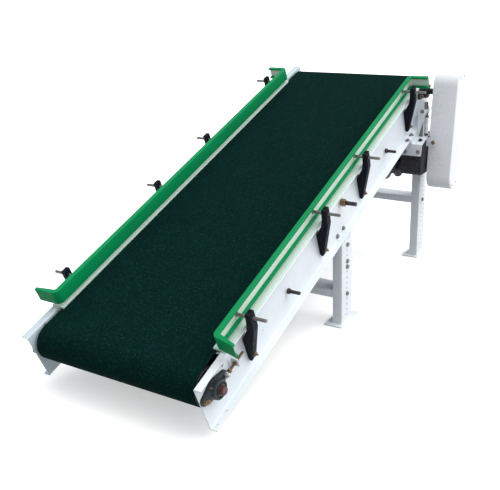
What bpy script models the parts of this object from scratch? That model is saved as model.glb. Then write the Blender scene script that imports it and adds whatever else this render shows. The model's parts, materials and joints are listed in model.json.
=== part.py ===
"""Inclined belt conveyor section: side frames, slider bed, belt, drums, drive, guides and legs.

Units are metres, +Z is up.  The infeed end is low and faces -Y, and the belt climbs towards +Y.
Everything that follows the slope hangs from one empty, in which +X is across the conveyor, +Y runs
up the slope (called s below) and +Z is normal to the belt (called n below, 0 at the top flange).
"""

from math import acos, asin, atan2, cos, hypot, pi, radians, sin, tan

import bmesh
import bpy
from mathutils import Matrix, Vector

# ---------------------------------------------------------------- driving dimensions
SLOPE = radians(20.3)
INFEED_HEIGHT = 0.2236          # floor to top flange at the infeed end
CLEAR = 0.0003                  # gap left between pieces that touch
SIDES = {"left": -1, "right": 1}

FRAME_LENGTH = 2.165
FRAME_DEPTH = 0.200
WEB_GAP = 0.730                 # between the inner faces of the two webs
WEB_THICK = 0.004
FLANGE_WIDTH = 0.030
SHEET = 0.002
BED_SKIRT = -0.034              # n of the slider bed's lower edges
BED_GAP = 0.014                 # between the slider bed and each drum

BELT_WIDTH = 0.700
BELT_THICK = 0.003
BELT_TOP = -0.001
DRUM_STEPS = 36
BELT_STEPS = 20
BELT_WRAP = radians(190)         # a little more than the belt turns round either drum
DRUM_RADIUS = 0.0680
DRUM_OVERHANG = 0.004           # drum past the belt at each side
DRUM_WALL = 0.004
DRUM_RECESS = 0.012             # depth of the end discs inside the rim
DRUM_DISC = 0.008
VENT_CIRCLE = 0.040
VENT_RADIUS = 0.010
TAIL_S = 0.073
HEAD_S = 2.090
SHAFT_RADIUS = 0.015

ROLLER_S = {"near": 0.579, "far": 1.563}
ROLLER_N = -0.105
ROLLER_RADIUS = 0.025
ROLLER_WALL = 0.003
ROLLER_SHORT = 0.002            # roller short of the belt at each side
ROLLER_PLUG = 0.012
ROLLER_PLAY = 0.001
AXLE_RADIUS = 0.006
AXLE_STUB = 0.055
AXLE_COLLAR = 0.0095
COLLAR_LENGTH = 0.008
NUT_LENGTH = 0.010
TIE_S = 1.080
TIE_N = -0.056
TIE_RADIUS = 0.009
TIE_STUB = 0.072
TIE_COLLAR = 0.016

STRIP_START = 0.164
STRIP_END = 1.975
STRIP_INNER_X = 0.337
STRIP_TOP = 0.009

RAIL_INNER_X = {"left": 0.331, "right": 0.359}
RAIL_SPAN = {"left": (0.158, 1.980), "right": (0.150, 1.952)}
RAIL_TIP_X = {"left": (0.438, 0.436), "right": (0.452, 0.461)}   # low end, high end
RAIL_FLARE = {"left": 0.0, "right": 0.22}                        # lean of the low end's tip
RAIL_LOW = 0.025
RAIL_HIGH = 0.081
RAIL_DEPTH = 0.021
RAIL_WALL = 0.005
RAIL_LIP = 0.008
RAIL_BEND = 0.026
BACKING_DEPTH = 0.009

BRACKET_S = {"left": (0.285, 0.880, 1.280, 1.870), "right": (0.285, 0.862, 1.262, 1.838)}
BRACKET_WIDTH = 0.030
BRACKET_X = {"left": 0.4105, "right": 0.4325}   # outer face of the bracket's head
BRACKET_NECK = {"left": ((0.392, 0.077), (0.392, 0.024), (0.3970, 0.010), (0.3970, -0.002)),
                "right": ((0.414, 0.077), (0.409, 0.035), (0.4045, 0.016), (0.400, -0.002))}
ROD_N = 0.054
ROD_RADIUS = 0.006
ROD_END_X = {"left": 0.462, "right": 0.485}

TAKE_UP_OUT = 0.010             # travel of the tail shaft away from the discharge end
TAKE_UP_IN = 0.025              # travel of the tail shaft towards the discharge end
BEARING_LENGTH = 0.148
BEARING_HEIGHT = 0.072
BEARING_PLATE = 0.013
BEARING_EAR = 0.018
BEARING_BOLT_HOLE = 0.0055
BEARING_HUB_RADIUS = 0.031
BEARING_HUB = 0.036
SCREW_RADIUS = 0.005
SCREW_X = 0.386
ANGLE_S = 0.188
ANGLE_THICK = 0.004
ANGLE_HALF = 0.022
SCREW_PAST_ANGLE = 0.050
FOOT_HOLE_S = (0.016, 0.075)    # holes in the lower flange near the infeed end
FOOT_HOLE_X = 0.383
FOOT_HOLE_RADIUS = 0.0045

LEG_DEPTH = 0.101               # along Y
LEG_WIDTH = 0.0435              # along X
LEG_WALL = 0.003
LEG_PITCH = 0.025
LEG_HOLE = 0.0045
LEG_HOLE_LOW = 0.035            # height of the lowest hole
LEG_FRONT = {"mid": 0.995, "far": 1.937}
BRACE_LOW = {"mid": 0.126, "far": 0.2985}
BRACE_HEIGHT = 0.035
FOOT_THICK = 0.006
FOOT_INSIDE = 0.031
FOOT_OUTSIDE = 0.011
FOOT_FRONT = 0.026
FOOT_BACK = 0.051
LEG_HOLE_TOP = 0.010            # least height of leg left above the highest hole
LEG_TOP_GAP = 0.004             # leg top below the side frame
MOUNT_OVERLAP = 0.150           # length of the mount inside the leg

GUARD_INNER_X = 0.450
GUARD_OUTER_X = 0.573
GUARD_RADIUS = 0.0725
GUARD_LOW = (1.944, 0.4725)     # (Y, Z) centre of the lower round end
GUARD_HIGH = (1.987, 0.9125)    # (Y, Z) centre of the upper round end

SPROCKET_X = 0.505
SPROCKET_THICK = 0.007
CHAIN_PITCH = 0.0127
DRIVEN_TEETH = 24
DRIVE_TEETH = 18
CHAIN_DEPTH = 0.006

GEAR_X = (0.337, 0.444)
GEAR_Y = (1.800, 1.9305)
GEAR_LOW = 0.4875
OUTPUT_Y = 1.945
OUTPUT_Z = 0.530
OUTPUT_RADIUS = 0.050
OUTPUT_SHAFT = 0.012
OUTPUT_SEAT = 0.024             # depth of the output shaft inside the gearbox
MOTOR_SHAFT = 0.006
MOTOR_Y = 1.865
MOTOR_Z = 0.536
MOTOR_RADIUS = 0.077
# Steps of the motor from the gearbox inwards: (x where the step starts, its radius).
MOTOR_STEPS = ((0.3367, 0.045), (0.312, 0.080), (0.298, 0.070), (0.246, 0.100), (0.226, 0.077))
MOTOR_END = 0.090
MOTOR_RIB = 0.014
MOTOR_RIB_DEPTH = 0.006
COWL_X = (0.025, 0.0897)
COWL_EYE = 0.036
FAN_GAP = 0.018                 # fan hub inside the cowl's mouth
FAN_LENGTH = 0.026
FAN_ROOT = 0.018
FAN_TIP = 0.062

HANGER_S = (1.826, 1.945)       # base plate under the frame, parallel to it
HANGER_TOP = -0.2255
HANGER_THICK = 0.005
HANGER_EDGE_X = 0.4475          # free edge of the base plate, just clear of the chain guard
SPACER_X = (0.371, 0.394)
LIP_LOW = 0.588                 # bottom of the lip at the front of the base plate
UPRIGHT_X = (0.3957, 0.430)
UPRIGHT_Y = (1.862, 1.925)
UPRIGHT_THICK = 0.004
UPRIGHT_TOP = 0.850
STAY_TOP = 0.816
STRAP_X = 0.495
STRAP_Z = (0.627, 0.670)
ROD_SPOT = (0.4400, 1.8745)     # (X, Y) of the adjusting rod on the base plate
ROD_LENGTH = 0.110
ROD_NUT_RADIUS = 0.009

# ---------------------------------------------------------------- worked-out dimensions
WEB_X = WEB_GAP / 2
WEB_OUTER_X = WEB_X + WEB_THICK
FLANGE_X = WEB_X + FLANGE_WIDTH
BELT_INNER_RADIUS = (DRUM_RADIUS + CLEAR) / cos(BELT_WRAP / BELT_STEPS / 2)
BELT_OUTER_RADIUS = BELT_INNER_RADIUS + BELT_THICK
SHAFT_N = BELT_TOP - BELT_OUTER_RADIUS
BELT_UNDER = BELT_TOP - BELT_THICK
RETURN_N = ROLLER_N + ROLLER_RADIUS + 2 * CLEAR
LEG_OUTER_X = FLANGE_X
LEG_INNER_X = LEG_OUTER_X - LEG_WIDTH


def slope_to_floor(along, normal):
    """(Y, Z) above the floor of a point given along and normal to the slope."""
    height = along * sin(SLOPE) + normal * cos(SLOPE) + INFEED_HEIGHT
    return along * cos(SLOPE) - normal * sin(SLOPE), height


def underside_height(y):
    """Height of the side frame's underside at a distance y from the infeed end."""
    along = (y - FRAME_DEPTH * sin(SLOPE)) / cos(SLOPE)
    return slope_to_floor(along, -FRAME_DEPTH)[1]


FAR_Y = slope_to_floor(FRAME_LENGTH, -FRAME_DEPTH)[0]
HEAD_Y, HEAD_Z = slope_to_floor(HEAD_S, SHAFT_N)
ORIGIN_X = (GUARD_OUTER_X - ROD_END_X["left"]) / 2
ORIGIN_Y = FAR_Y / 2

# ---------------------------------------------------------------- scene, collections, materials
for old in list(bpy.data.objects):
    bpy.data.objects.remove(old)

PARTS = bpy.data.collections.new("belt_conveyor_section")
CUTTERS = bpy.data.collections.new("cutters")
bpy.context.scene.collection.children.link(PARTS)
bpy.context.scene.collection.children.link(CUTTERS)


def material(name, colour, roughness, metallic=0.0):
    made = bpy.data.materials.new(name)
    made.use_nodes = True
    shader = made.node_tree.nodes["Principled BSDF"]
    shader.inputs["Base Color"].default_value = (*colour, 1.0)
    shader.inputs["Roughness"].default_value = roughness
    shader.inputs["Metallic"].default_value = metallic
    return made


WHITE_PAINT = material("white_paint", (0.78, 0.82, 0.86), 0.35)
GALVANISED = material("galvanised", (0.55, 0.57, 0.58), 0.45, 0.8)
BELT_GREEN = material("belt_green", (0.004, 0.026, 0.019), 0.6)
STRIP_CREAM = material("strip_cream", (0.62, 0.60, 0.50), 0.5)
RAIL_GREEN = material("rail_green", (0.003, 0.29, 0.10), 0.4)
RAIL_WHITE = material("rail_white", (0.74, 0.80, 0.70), 0.4)
BRACKET_BLACK = material("bracket_black", (0.008, 0.009, 0.014), 0.5)
BRIGHT_STEEL = material("bright_steel", (0.36, 0.35, 0.34), 0.35, 1.0)
CAST_IRON = material("bearing_green", (0.010, 0.030, 0.028), 0.5)
DRUM_STEEL = material("drum_steel", (0.30, 0.28, 0.27), 0.45, 1.0)
GUARD_PAINT = material("guard_paint", (0.66, 0.67, 0.69), 0.45)
MOTOR_PAINT = material("motor_paint", (0.017, 0.016, 0.022), 0.5)
SPROCKET_STEEL = material("sprocket_steel", (0.12, 0.11, 0.11), 0.4, 1.0)
FAN_PLASTIC = material("fan_plastic", (0.02, 0.02, 0.02), 0.5)


def empty(name, location, rotation=(0.0, 0.0, 0.0)):
    made = bpy.data.objects.new(name, None)
    made.location = location
    made.rotation_euler = rotation
    PARTS.objects.link(made)
    return made


FLOOR = empty("floor_frame", (-ORIGIN_X, -ORIGIN_Y, 0.0))
INCLINE = empty("slope_frame", (-ORIGIN_X, -ORIGIN_Y, INFEED_HEIGHT), (SLOPE, 0.0, 0.0))

# ---------------------------------------------------------------- modelling helpers
# Each matrix turns a shape drawn flat in XY and thick along Z, so that its thickness lies
# across the conveyor, along it, or stays upright.
ACROSS = Matrix(((0, 0, 1, 0), (1, 0, 0, 0), (0, 1, 0, 0), (0, 0, 0, 1)))
ALONG = Matrix(((1, 0, 0, 0), (0, 0, -1, 0), (0, 1, 0, 0), (0, 0, 0, 1)))
UPRIGHT = Matrix.Identity(4)


def place(name, mesh, look, parent, location=(0.0, 0.0, 0.0)):
    made = bpy.data.objects.new(name, mesh)
    made.parent = parent
    made.location = location
    mesh.materials.clear()
    mesh.materials.append(look)
    PARTS.objects.link(made)
    return made


def outline_mesh(name, loops, thickness, turn):
    """A flat outline, with any further loops as holes, made into a plate of a given thickness."""
    curve = bpy.data.curves.new(name, "CURVE")
    curve.dimensions = "2D"
    curve.fill_mode = "BOTH"
    curve.extrude = thickness / 2
    for loop in loops:
        spline = curve.splines.new("POLY")
        spline.points.add(len(loop) - 1)
        for point, (u, v) in zip(spline.points, loop):
            point.co = (u, v, 0.0, 1.0)
        spline.use_cyclic_u = True
    holder = bpy.data.objects.new(name + "_outline", curve)
    bpy.context.scene.collection.objects.link(holder)
    graph = bpy.context.evaluated_depsgraph_get()
    mesh = bpy.data.meshes.new_from_object(holder.evaluated_get(graph))
    bpy.data.objects.remove(holder)
    shape = bmesh.new()
    shape.from_mesh(mesh)
    bmesh.ops.remove_doubles(shape, verts=shape.verts, dist=0.00001)
    shape.transform(turn)
    shape.to_mesh(mesh)
    shape.free()
    return mesh


def box_mesh(name, size):
    mesh = bpy.data.meshes.new(name)
    shape = bmesh.new()
    bmesh.ops.create_cube(shape, size=1.0, matrix=Matrix.Diagonal((*size, 1.0)))
    shape.to_mesh(mesh)
    shape.free()
    return mesh


def rod_mesh(name, radius, length, steps, turn=ACROSS):
    mesh = bpy.data.meshes.new(name)
    shape = bmesh.new()
    bmesh.ops.create_cone(shape, cap_ends=True, segments=steps, radius1=radius, radius2=radius,
                          depth=length)
    shape.transform(turn)
    shape.to_mesh(mesh)
    shape.free()
    return mesh


def span_box(low, high):
    """Size and centre of the box between two corners."""
    size = [b - a for a, b in zip(low, high)]
    centre = [(a + b) / 2 for a, b in zip(low, high)]
    return size, centre


def tool(name, mesh, parent, location):
    """A hidden helper that another piece is cut with or joined to."""
    made = bpy.data.objects.new(name, mesh)
    made.parent = parent
    made.location = location
    made.hide_render = True
    made.display_type = "WIRE"
    CUTTERS.objects.link(made)
    return made


def boolean(target, helper, operation):
    modifier = target.modifiers.new(helper.name, "BOOLEAN")
    modifier.operation = operation
    modifier.solver = "EXACT"
    modifier.object = helper
    return modifier


def box_tool(target, low, high, operation, label):
    size, centre = span_box(low, high)
    name = target.name + "_" + label
    helper = tool(name, box_mesh(name, size), target.parent, centre)
    return boolean(target, helper, operation)


def hole(target, radius, length, centre, label, turn=ACROSS, steps=16):
    name = target.name + "_" + label
    helper = tool(name, rod_mesh(name, radius, length, steps, turn), target.parent, centre)
    return boolean(target, helper, "DIFFERENCE")


def lathe(name, profiles, steps, look, parent, location):
    """Turns (radius, x) profiles about the X axis; x falls along the outer side of a profile."""
    mesh = bpy.data.meshes.new(name)
    shape = bmesh.new()
    for profile in profiles:
        points = [shape.verts.new((radius, 0.0, x)) for radius, x in profile]
        for first, second in zip(points, points[1:]):
            shape.edges.new((first, second))
        if profile[0][0] > 0.0:
            shape.edges.new((points[-1], points[0]))
    shape.to_mesh(mesh)
    shape.free()
    made = place(name, mesh, look, parent, location)
    made.rotation_euler = (0.0, pi / 2, 0.0)
    screw = made.modifiers.new("turned", "SCREW")
    screw.axis = "Z"
    screw.steps = steps
    screw.render_steps = steps
    screw.use_merge_vertices = True
    screw.merge_threshold = 0.00001
    return made


def arc(centre, radius, start, end, steps):
    """Points of an arc from one angle to another, both ends included."""
    angles = [start + (end - start) * i / steps for i in range(steps + 1)]
    return [(centre[0] + radius * cos(a), centre[1] + radius * sin(a)) for a in angles]


def circle(centre, radius, steps):
    return arc(centre, radius, 0.0, 2 * pi * (steps - 1) / steps, steps - 1)


def capsule(low, high, radius, steps):
    """Outline with two round ends, about the centres low and high."""
    lean = atan2(high[1] - low[1], high[0] - low[0])
    top = arc(high, radius, lean - pi / 2, lean + pi / 2, steps)
    bottom = arc(low, radius, lean + pi / 2, lean + 3 * pi / 2, steps)
    return top + bottom


def bore(radius, steps):
    """Radius of a faceted hole whose flats stay clear of a round piece of the given radius."""
    return (radius + CLEAR) / cos(pi / steps)


# ---------------------------------------------------------------- side frames and bed
def side_frame(side):
    sign = SIDES[side]
    inner, outer = sign * WEB_X, sign * FLANGE_X
    web = sign * WEB_OUTER_X
    section = [(inner, 0.0), (outer, 0.0), (outer, -WEB_THICK), (web, -WEB_THICK),
               (web, WEB_THICK - FRAME_DEPTH), (outer, WEB_THICK - FRAME_DEPTH),
               (outer, -FRAME_DEPTH), (inner, -FRAME_DEPTH)]
    mesh = outline_mesh("side_frame_" + side, [section], FRAME_LENGTH, ALONG)
    frame = place("side_frame_" + side, mesh, WHITE_PAINT, INCLINE, (0.0, FRAME_LENGTH / 2, 0.0))
    web_middle = sign * (WEB_X + WEB_THICK / 2)
    cut = 4 * WEB_THICK
    slot = capsule((-TAKE_UP_OUT, 0.0), (TAKE_UP_IN, 0.0), SHAFT_RADIUS + 0.004, 8)
    name = frame.name + "_take_up_slot"
    slot_tool = tool(name, outline_mesh(name, [slot], cut, ACROSS), INCLINE,
                     (web_middle, TAIL_S, SHAFT_N))
    boolean(frame, slot_tool, "DIFFERENCE")
    hole(frame, SHAFT_RADIUS + 0.006, cut, (web_middle, HEAD_S, SHAFT_N), "head_hole")
    hole(frame, bore(TIE_RADIUS, 12), cut, (web_middle, TIE_S, TIE_N), "tie_hole", steps=12)
    for place_name, along in ROLLER_S.items():
        centre = (web_middle, along, ROLLER_N)
        hole(frame, bore(AXLE_RADIUS, 12), cut, centre, "axle_hole_" + place_name, steps=12)
    for number, along in enumerate(FOOT_HOLE_S):
        centre = (sign * FOOT_HOLE_X, along, -FRAME_DEPTH + WEB_THICK / 2)
        hole(frame, FOOT_HOLE_RADIUS, cut, centre, "foot_hole_" + str(number), UPRIGHT, 10)
    # The take-up angle stands on the web and carries the adjusting screw.
    low_x, high_x = sorted((sign * (WEB_OUTER_X - 0.001), sign * (SCREW_X + 0.014)))
    low = (low_x, ANGLE_S, SHAFT_N - ANGLE_HALF)
    high = (high_x, ANGLE_S + ANGLE_THICK, SHAFT_N + ANGLE_HALF)
    box_tool(frame, low, high, "UNION", "take_up_angle")
    screw_hole = (sign * SCREW_X, ANGLE_S, SHAFT_N)
    hole(frame, bore(SCREW_RADIUS, 12), 4 * ANGLE_THICK, screw_hole, "screw_hole", ALONG, 12)


def slider_bed():
    half = WEB_X - 2 * CLEAR
    top = BELT_UNDER - 2 * CLEAR
    skirt = BED_SKIRT
    section = [(-half, top), (half, top), (half, skirt), (half - SHEET, skirt),
               (half - SHEET, top - SHEET), (-half + SHEET, top - SHEET), (-half + SHEET, skirt),
               (-half, skirt)]
    start = TAIL_S + DRUM_RADIUS + BED_GAP
    end = HEAD_S - DRUM_RADIUS - BED_GAP
    mesh = outline_mesh("slider_bed", [section], end - start, ALONG)
    place("slider_bed", mesh, GALVANISED, INCLINE, (0.0, (start + end) / 2, 0.0))


def edge_strip(side):
    sign = SIDES[side]
    low_x, high_x = sorted((sign * STRIP_INNER_X, sign * (FLANGE_X - 0.003)))
    size, centre = span_box((low_x, STRIP_START, CLEAR), (high_x, STRIP_END, STRIP_TOP))
    place("edge_strip_" + side, box_mesh("edge_strip", size), STRIP_CREAM, INCLINE, centre)


# ---------------------------------------------------------------- belt and rollers
def drum_arc(centre, roller, radius, level):
    """Belt round one drum, from its top to where it leaves for the top of a return roller."""
    hand = 1 if roller > centre else -1
    reach = abs(roller - centre)
    drop = level - SHAFT_N
    leave = atan2(drop, reach) - acos(radius / hypot(reach, drop))
    turned = arc((0.0, 0.0), radius, pi / 2, 2 * pi + leave, BELT_STEPS)
    return [(centre + hand * u, SHAFT_N + v) for u, v in turned]


def belt_loop(offset):
    """Outline of the belt at a distance outwards from its inner face."""
    radius = BELT_INNER_RADIUS + offset
    level = RETURN_N + BELT_THICK - offset
    near, far = ROLLER_S["near"], ROLLER_S["far"]
    tail = drum_arc(TAIL_S, near, radius, level)
    head = drum_arc(HEAD_S, far, radius, level)
    return tail + [(near, level), (far, level)] + head[::-1]


def belt():
    outer = belt_loop(BELT_THICK)
    inner = belt_loop(0.0)
    mesh = outline_mesh("belt", [outer, inner], BELT_WIDTH, ACROSS)
    place("belt", mesh, BELT_GREEN, INCLINE)


def drum(name, along, left_end, right_end):
    """Hollow drum with a recessed disc at each end, welded to its shaft and vented."""
    face = BELT_WIDTH / 2 + DRUM_OVERHANG
    bore_radius = DRUM_RADIUS - DRUM_WALL
    disc = face - DRUM_RECESS
    room = disc - DRUM_DISC
    outside = [(0.0, right_end), (SHAFT_RADIUS, right_end), (SHAFT_RADIUS, disc),
               (bore_radius, disc), (bore_radius, face), (DRUM_RADIUS, face),
               (DRUM_RADIUS, -face), (bore_radius, -face), (bore_radius, -disc),
               (SHAFT_RADIUS, -disc), (SHAFT_RADIUS, -left_end), (0.0, -left_end)]
    inside = [(bore_radius, -room), (bore_radius, room), (SHAFT_RADIUS, room),
              (SHAFT_RADIUS, -room)]
    made = lathe(name, [outside, inside], DRUM_STEPS, DRUM_STEEL, INCLINE, (0.0, along, SHAFT_N))
    for number in range(2):
        angle = pi * number
        centre = (0.0, along + VENT_CIRCLE * cos(angle), SHAFT_N + VENT_CIRCLE * sin(angle))
        hole(made, VENT_RADIUS, 2 * face, centre, "vent_" + str(number), steps=8)


def return_roller(where):
    half = BELT_WIDTH / 2 - ROLLER_SHORT
    plug = ROLLER_PLUG
    eye = AXLE_RADIUS + ROLLER_PLAY
    inner = ROLLER_RADIUS - ROLLER_WALL
    profile = [(eye, half), (ROLLER_RADIUS, half), (ROLLER_RADIUS, -half), (eye, -half),
               (eye, -half + plug), (inner, -half + plug), (inner, half - plug),
               (eye, half - plug)]
    lathe("return_roller_" + where, [profile], 20, GALVANISED, INCLINE,
          (0.0, ROLLER_S[where], ROLLER_N))


def through_rod(name, radius, stub, collar, along, normal):
    """A rod through both webs, with a collar inside each and a nut outside each."""
    end = WEB_OUTER_X + stub
    outside = WEB_OUTER_X + CLEAR
    nut = outside + NUT_LENGTH
    inside = WEB_X - CLEAR
    ring = inside - COLLAR_LENGTH
    half = [(0.0, end), (radius, end), (radius, nut), (collar, nut), (collar, outside),
            (radius, outside), (radius, inside), (collar, inside), (collar, ring), (radius, ring)]
    profile = half + [(size, -x) for size, x in half[::-1]]
    lathe(name, [profile], 12, BRIGHT_STEEL, INCLINE, (0.0, along, normal))


# ---------------------------------------------------------------- bearings and take-up
def flange_bearing(name, side, along):
    """Two-bolt flange bearing: a lens-shaped plate with a round hub on its outer face."""
    sign = SIDES[side]
    ear = BEARING_EAR
    ear_s = BEARING_LENGTH / 2 - ear
    belly = BEARING_HEIGHT / 2
    turn = radians(65)          # half of the arc round each ear
    loop = (arc((ear_s, 0.0), ear, -turn, turn, 4)
            + arc((0.0, 0.0), belly, turn, pi - turn, 4)
            + arc((-ear_s, 0.0), ear, pi - turn, pi + turn, 4)
            + arc((0.0, 0.0), belly, pi + turn, 2 * pi - turn, 4))
    eye = bore(SHAFT_RADIUS, 16)
    holes = [circle((place_s, 0.0), BEARING_BOLT_HOLE, 10) for place_s in (-ear_s, ear_s)]
    holes.append(circle((0.0, 0.0), eye, 16))
    start = sign * (WEB_OUTER_X + CLEAR)
    middle = start + sign * BEARING_PLATE / 2
    mesh = outline_mesh(name, [loop] + holes, BEARING_PLATE, ACROSS)
    housing = place(name, mesh, CAST_IRON, INCLINE, (middle, along, SHAFT_N))
    hub_length = BEARING_HUB - BEARING_PLATE + 0.001
    hub_middle = start + sign * (BEARING_PLATE - 0.001 + hub_length / 2)
    ring = [circle((0.0, 0.0), BEARING_HUB_RADIUS, 24), circle((0.0, 0.0), eye + 0.0001, 16)]
    hub_name = name + "_hub"
    hub = tool(hub_name, outline_mesh(hub_name, ring, hub_length, ACROSS), INCLINE,
               (hub_middle, along, SHAFT_N))
    boolean(housing, hub, "UNION")


def take_up_screw(side):
    sign = SIDES[side]
    start = TAIL_S + BEARING_LENGTH / 2 + CLEAR
    end = ANGLE_S + SCREW_PAST_ANGLE
    mesh = rod_mesh("take_up_screw_" + side, SCREW_RADIUS, end - start, 12, ALONG)
    location = (sign * SCREW_X, (start + end) / 2, SHAFT_N)
    place("take_up_screw_" + side, mesh, BRIGHT_STEEL, INCLINE, location)


# ---------------------------------------------------------------- guide rails
def rail_path(depth, side, reach):
    """Plan of the rail at a depth behind its belt face: a straight run with both ends turned out."""
    bend_x, (start, end) = RAIL_INNER_X[side] + RAIL_BEND, RAIL_SPAN[side]
    low_tip, high_tip = RAIL_TIP_X[side]
    radius = RAIL_BEND - depth
    steps = 5
    flare = RAIL_FLARE[side] * (low_tip + reach - bend_x)
    path = [(low_tip + reach, start + depth - flare)]
    path += arc((bend_x, start + RAIL_BEND), radius, -pi / 2, -pi, steps)
    path += arc((bend_x, end - RAIL_BEND), radius, pi, pi / 2, steps)
    path.append((high_tip + reach, end - depth))
    return path


def rail_band(first, second, side, reach=0.0):
    """The plan between two depths; reach moves both tips out."""
    loop = rail_path(first, side, reach) + rail_path(second, side, reach)[::-1]
    return [(SIDES[side] * x, s) for x, s in loop]


def guide_rail(side):
    height = RAIL_HIGH - RAIL_LOW
    middle = (RAIL_HIGH + RAIL_LOW) / 2
    name = "guide_rail_" + side
    band = rail_band(0.0, RAIL_DEPTH, side)
    rail = place(name, outline_mesh(name, [band], height, UPRIGHT), RAIL_GREEN, INCLINE,
                 (0.0, 0.0, middle))
    groove = rail_band(RAIL_WALL, RAIL_DEPTH + 0.001, side, 0.01)
    groove_mesh = outline_mesh(name + "_groove", [groove], height - 2 * RAIL_LIP, UPRIGHT)
    boolean(rail, tool(name + "_groove", groove_mesh, INCLINE, (0.0, 0.0, middle)), "DIFFERENCE")
    backing = rail_band(RAIL_WALL + CLEAR, BACKING_DEPTH, side, -0.002)
    back_name = "rail_backing_" + side
    back_height = height - 2 * RAIL_LIP - 2 * CLEAR
    place(back_name, outline_mesh(back_name, [backing], back_height, UPRIGHT), RAIL_WHITE, INCLINE,
          (0.0, 0.0, middle))


def guide_rod(side, number, along):
    sign = SIDES[side]
    start = RAIL_INNER_X[side] + BACKING_DEPTH + CLEAR
    end = ROD_END_X[side]
    mesh = rod_mesh("guide_rod", ROD_RADIUS, end - start, 12)
    location = (sign * (start + end) / 2, along, ROD_N)
    place("guide_rod_" + side + "_" + str(number), mesh, BRIGHT_STEEL, INCLINE, location)


def guide_bracket(side, number, along):
    """Dogleg bracket: on the web below, stepped out round the flange, with a flat head above."""
    sign = SIDES[side]
    face, head = WEB_OUTER_X + CLEAR, BRACKET_X[side]
    right = [(face, -0.148), (face + 0.007, -0.157), (face + 0.015, -0.152), (face + 0.021, -0.128),
             (head - 0.002, 0.004), (head, 0.030), (head, 0.077), *BRACKET_NECK[side], (face, -0.052)]
    loop = [(sign * x, n) for x, n in right]
    name = "guide_bracket_" + side + "_" + str(number)
    bracket = place(name, outline_mesh(name, [loop], BRACKET_WIDTH, ALONG), BRACKET_BLACK,
                    INCLINE, (0.0, along, 0.0))
    hole(bracket, bore(ROD_RADIUS, 12), 0.08, (sign * head, along, ROD_N), "rod_hole", steps=12)


# ---------------------------------------------------------------- legs
def leg(side, where):
    """Perforated channel, open inwards, with a welded foot plate."""
    sign = SIDES[side]
    front = LEG_FRONT[where]
    back = front + LEG_DEPTH
    top = underside_height(front) - LEG_TOP_GAP
    low = FOOT_THICK - 0.001
    name = "leg_" + where + "_" + side
    outer, inner = sign * LEG_OUTER_X, sign * LEG_INNER_X
    wall = sign * (LEG_OUTER_X - LEG_WALL)
    section = [(outer, front), (outer, back), (inner, back), (inner, back - LEG_WALL),
               (wall, back - LEG_WALL), (wall, front + LEG_WALL), (inner, front + LEG_WALL),
               (inner, front)]
    made = place(name, outline_mesh(name, [section], top - low, UPRIGHT), WHITE_PAINT, FLOOR,
                 (0.0, 0.0, (top + low) / 2))
    low_x, high_x = sorted((sign * (LEG_INNER_X - FOOT_INSIDE), sign * (LEG_OUTER_X + FOOT_OUTSIDE)))
    box_tool(made, (low_x, front - FOOT_FRONT, 0.0), (high_x, back + FOOT_BACK, FOOT_THICK),
             "UNION", "foot")
    name = made.name + "_punch"
    punch = bpy.data.meshes.new(name)
    shape = bmesh.new()
    count = int((top - LEG_HOLE_LOW - LEG_HOLE_TOP) / LEG_PITCH) + 1
    for number in range(count):
        middle = Vector((sign * (LEG_OUTER_X - LEG_WALL / 2), front + LEG_DEPTH / 2,
                         LEG_HOLE_LOW + number * LEG_PITCH))
        bmesh.ops.create_cone(shape, cap_ends=True, segments=6, radius1=LEG_HOLE,
                              radius2=LEG_HOLE, depth=3 * LEG_WALL,
                              matrix=Matrix.Translation(middle) @ ACROSS)
    shape.to_mesh(punch)
    shape.free()
    boolean(made, tool(name, punch, FLOOR, (0.0, 0.0, 0.0)), "DIFFERENCE")


def leg_mount(side, where):
    """Channel that slides inside the leg, with a lug that runs up the inner face of the web."""
    sign = SIDES[side]
    front = LEG_FRONT[where] + LEG_WALL + CLEAR
    back = LEG_FRONT[where] + LEG_DEPTH - LEG_WALL - CLEAR
    outer = LEG_OUTER_X - LEG_WALL - CLEAR
    lug_outer = WEB_X - CLEAR
    lug_inner = lug_outer - 0.004
    leg_top = underside_height(LEG_FRONT[where]) - LEG_TOP_GAP
    low = leg_top - MOUNT_OVERLAP
    lip = 0.003
    seat_front = underside_height(front) - CLEAR / cos(SLOPE)
    seat_back = underside_height(back) - CLEAR / cos(SLOPE)
    name = "leg_mount_" + where + "_" + side
    edge = lug_inner + 0.001
    section = [(sign * outer, front), (sign * outer, back), (sign * edge, back),
               (sign * edge, back - lip), (sign * (outer - lip), back - lip),
               (sign * (outer - lip), front + lip), (sign * edge, front + lip),
               (sign * edge, front)]
    top = seat_back + 0.02
    made = place(name, outline_mesh(name, [section], top - low, UPRIGHT), WHITE_PAINT, FLOOR,
                 (0.0, 0.0, (top + low) / 2))
    over = 0.02
    rise = over * tan(SLOPE)
    trim = [(front - over, seat_front - rise), (back + over, seat_back + rise),
            (back + over, seat_back + 0.08), (front - over, seat_back + 0.08)]
    trim_name = name + "_trim"
    boolean(made, tool(trim_name, outline_mesh(trim_name, [trim], 0.2, ACROSS), FLOOR,
                       (sign * outer, 0.0, 0.0)), "DIFFERENCE")
    lug_front, lug_back = front + 0.0005, back - 0.0005
    lug = [(lug_front, seat_front - 0.05), (lug_back, seat_back - 0.05),
           (lug_back, seat_back + 0.075), (lug_front, seat_front + 0.075)]
    lug_name = name + "_lug"
    boolean(made, tool(lug_name, outline_mesh(lug_name, [lug], 0.004, ACROSS), FLOOR,
                       (sign * (lug_inner + lug_outer) / 2, 0.0, 0.0)), "UNION")


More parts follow.
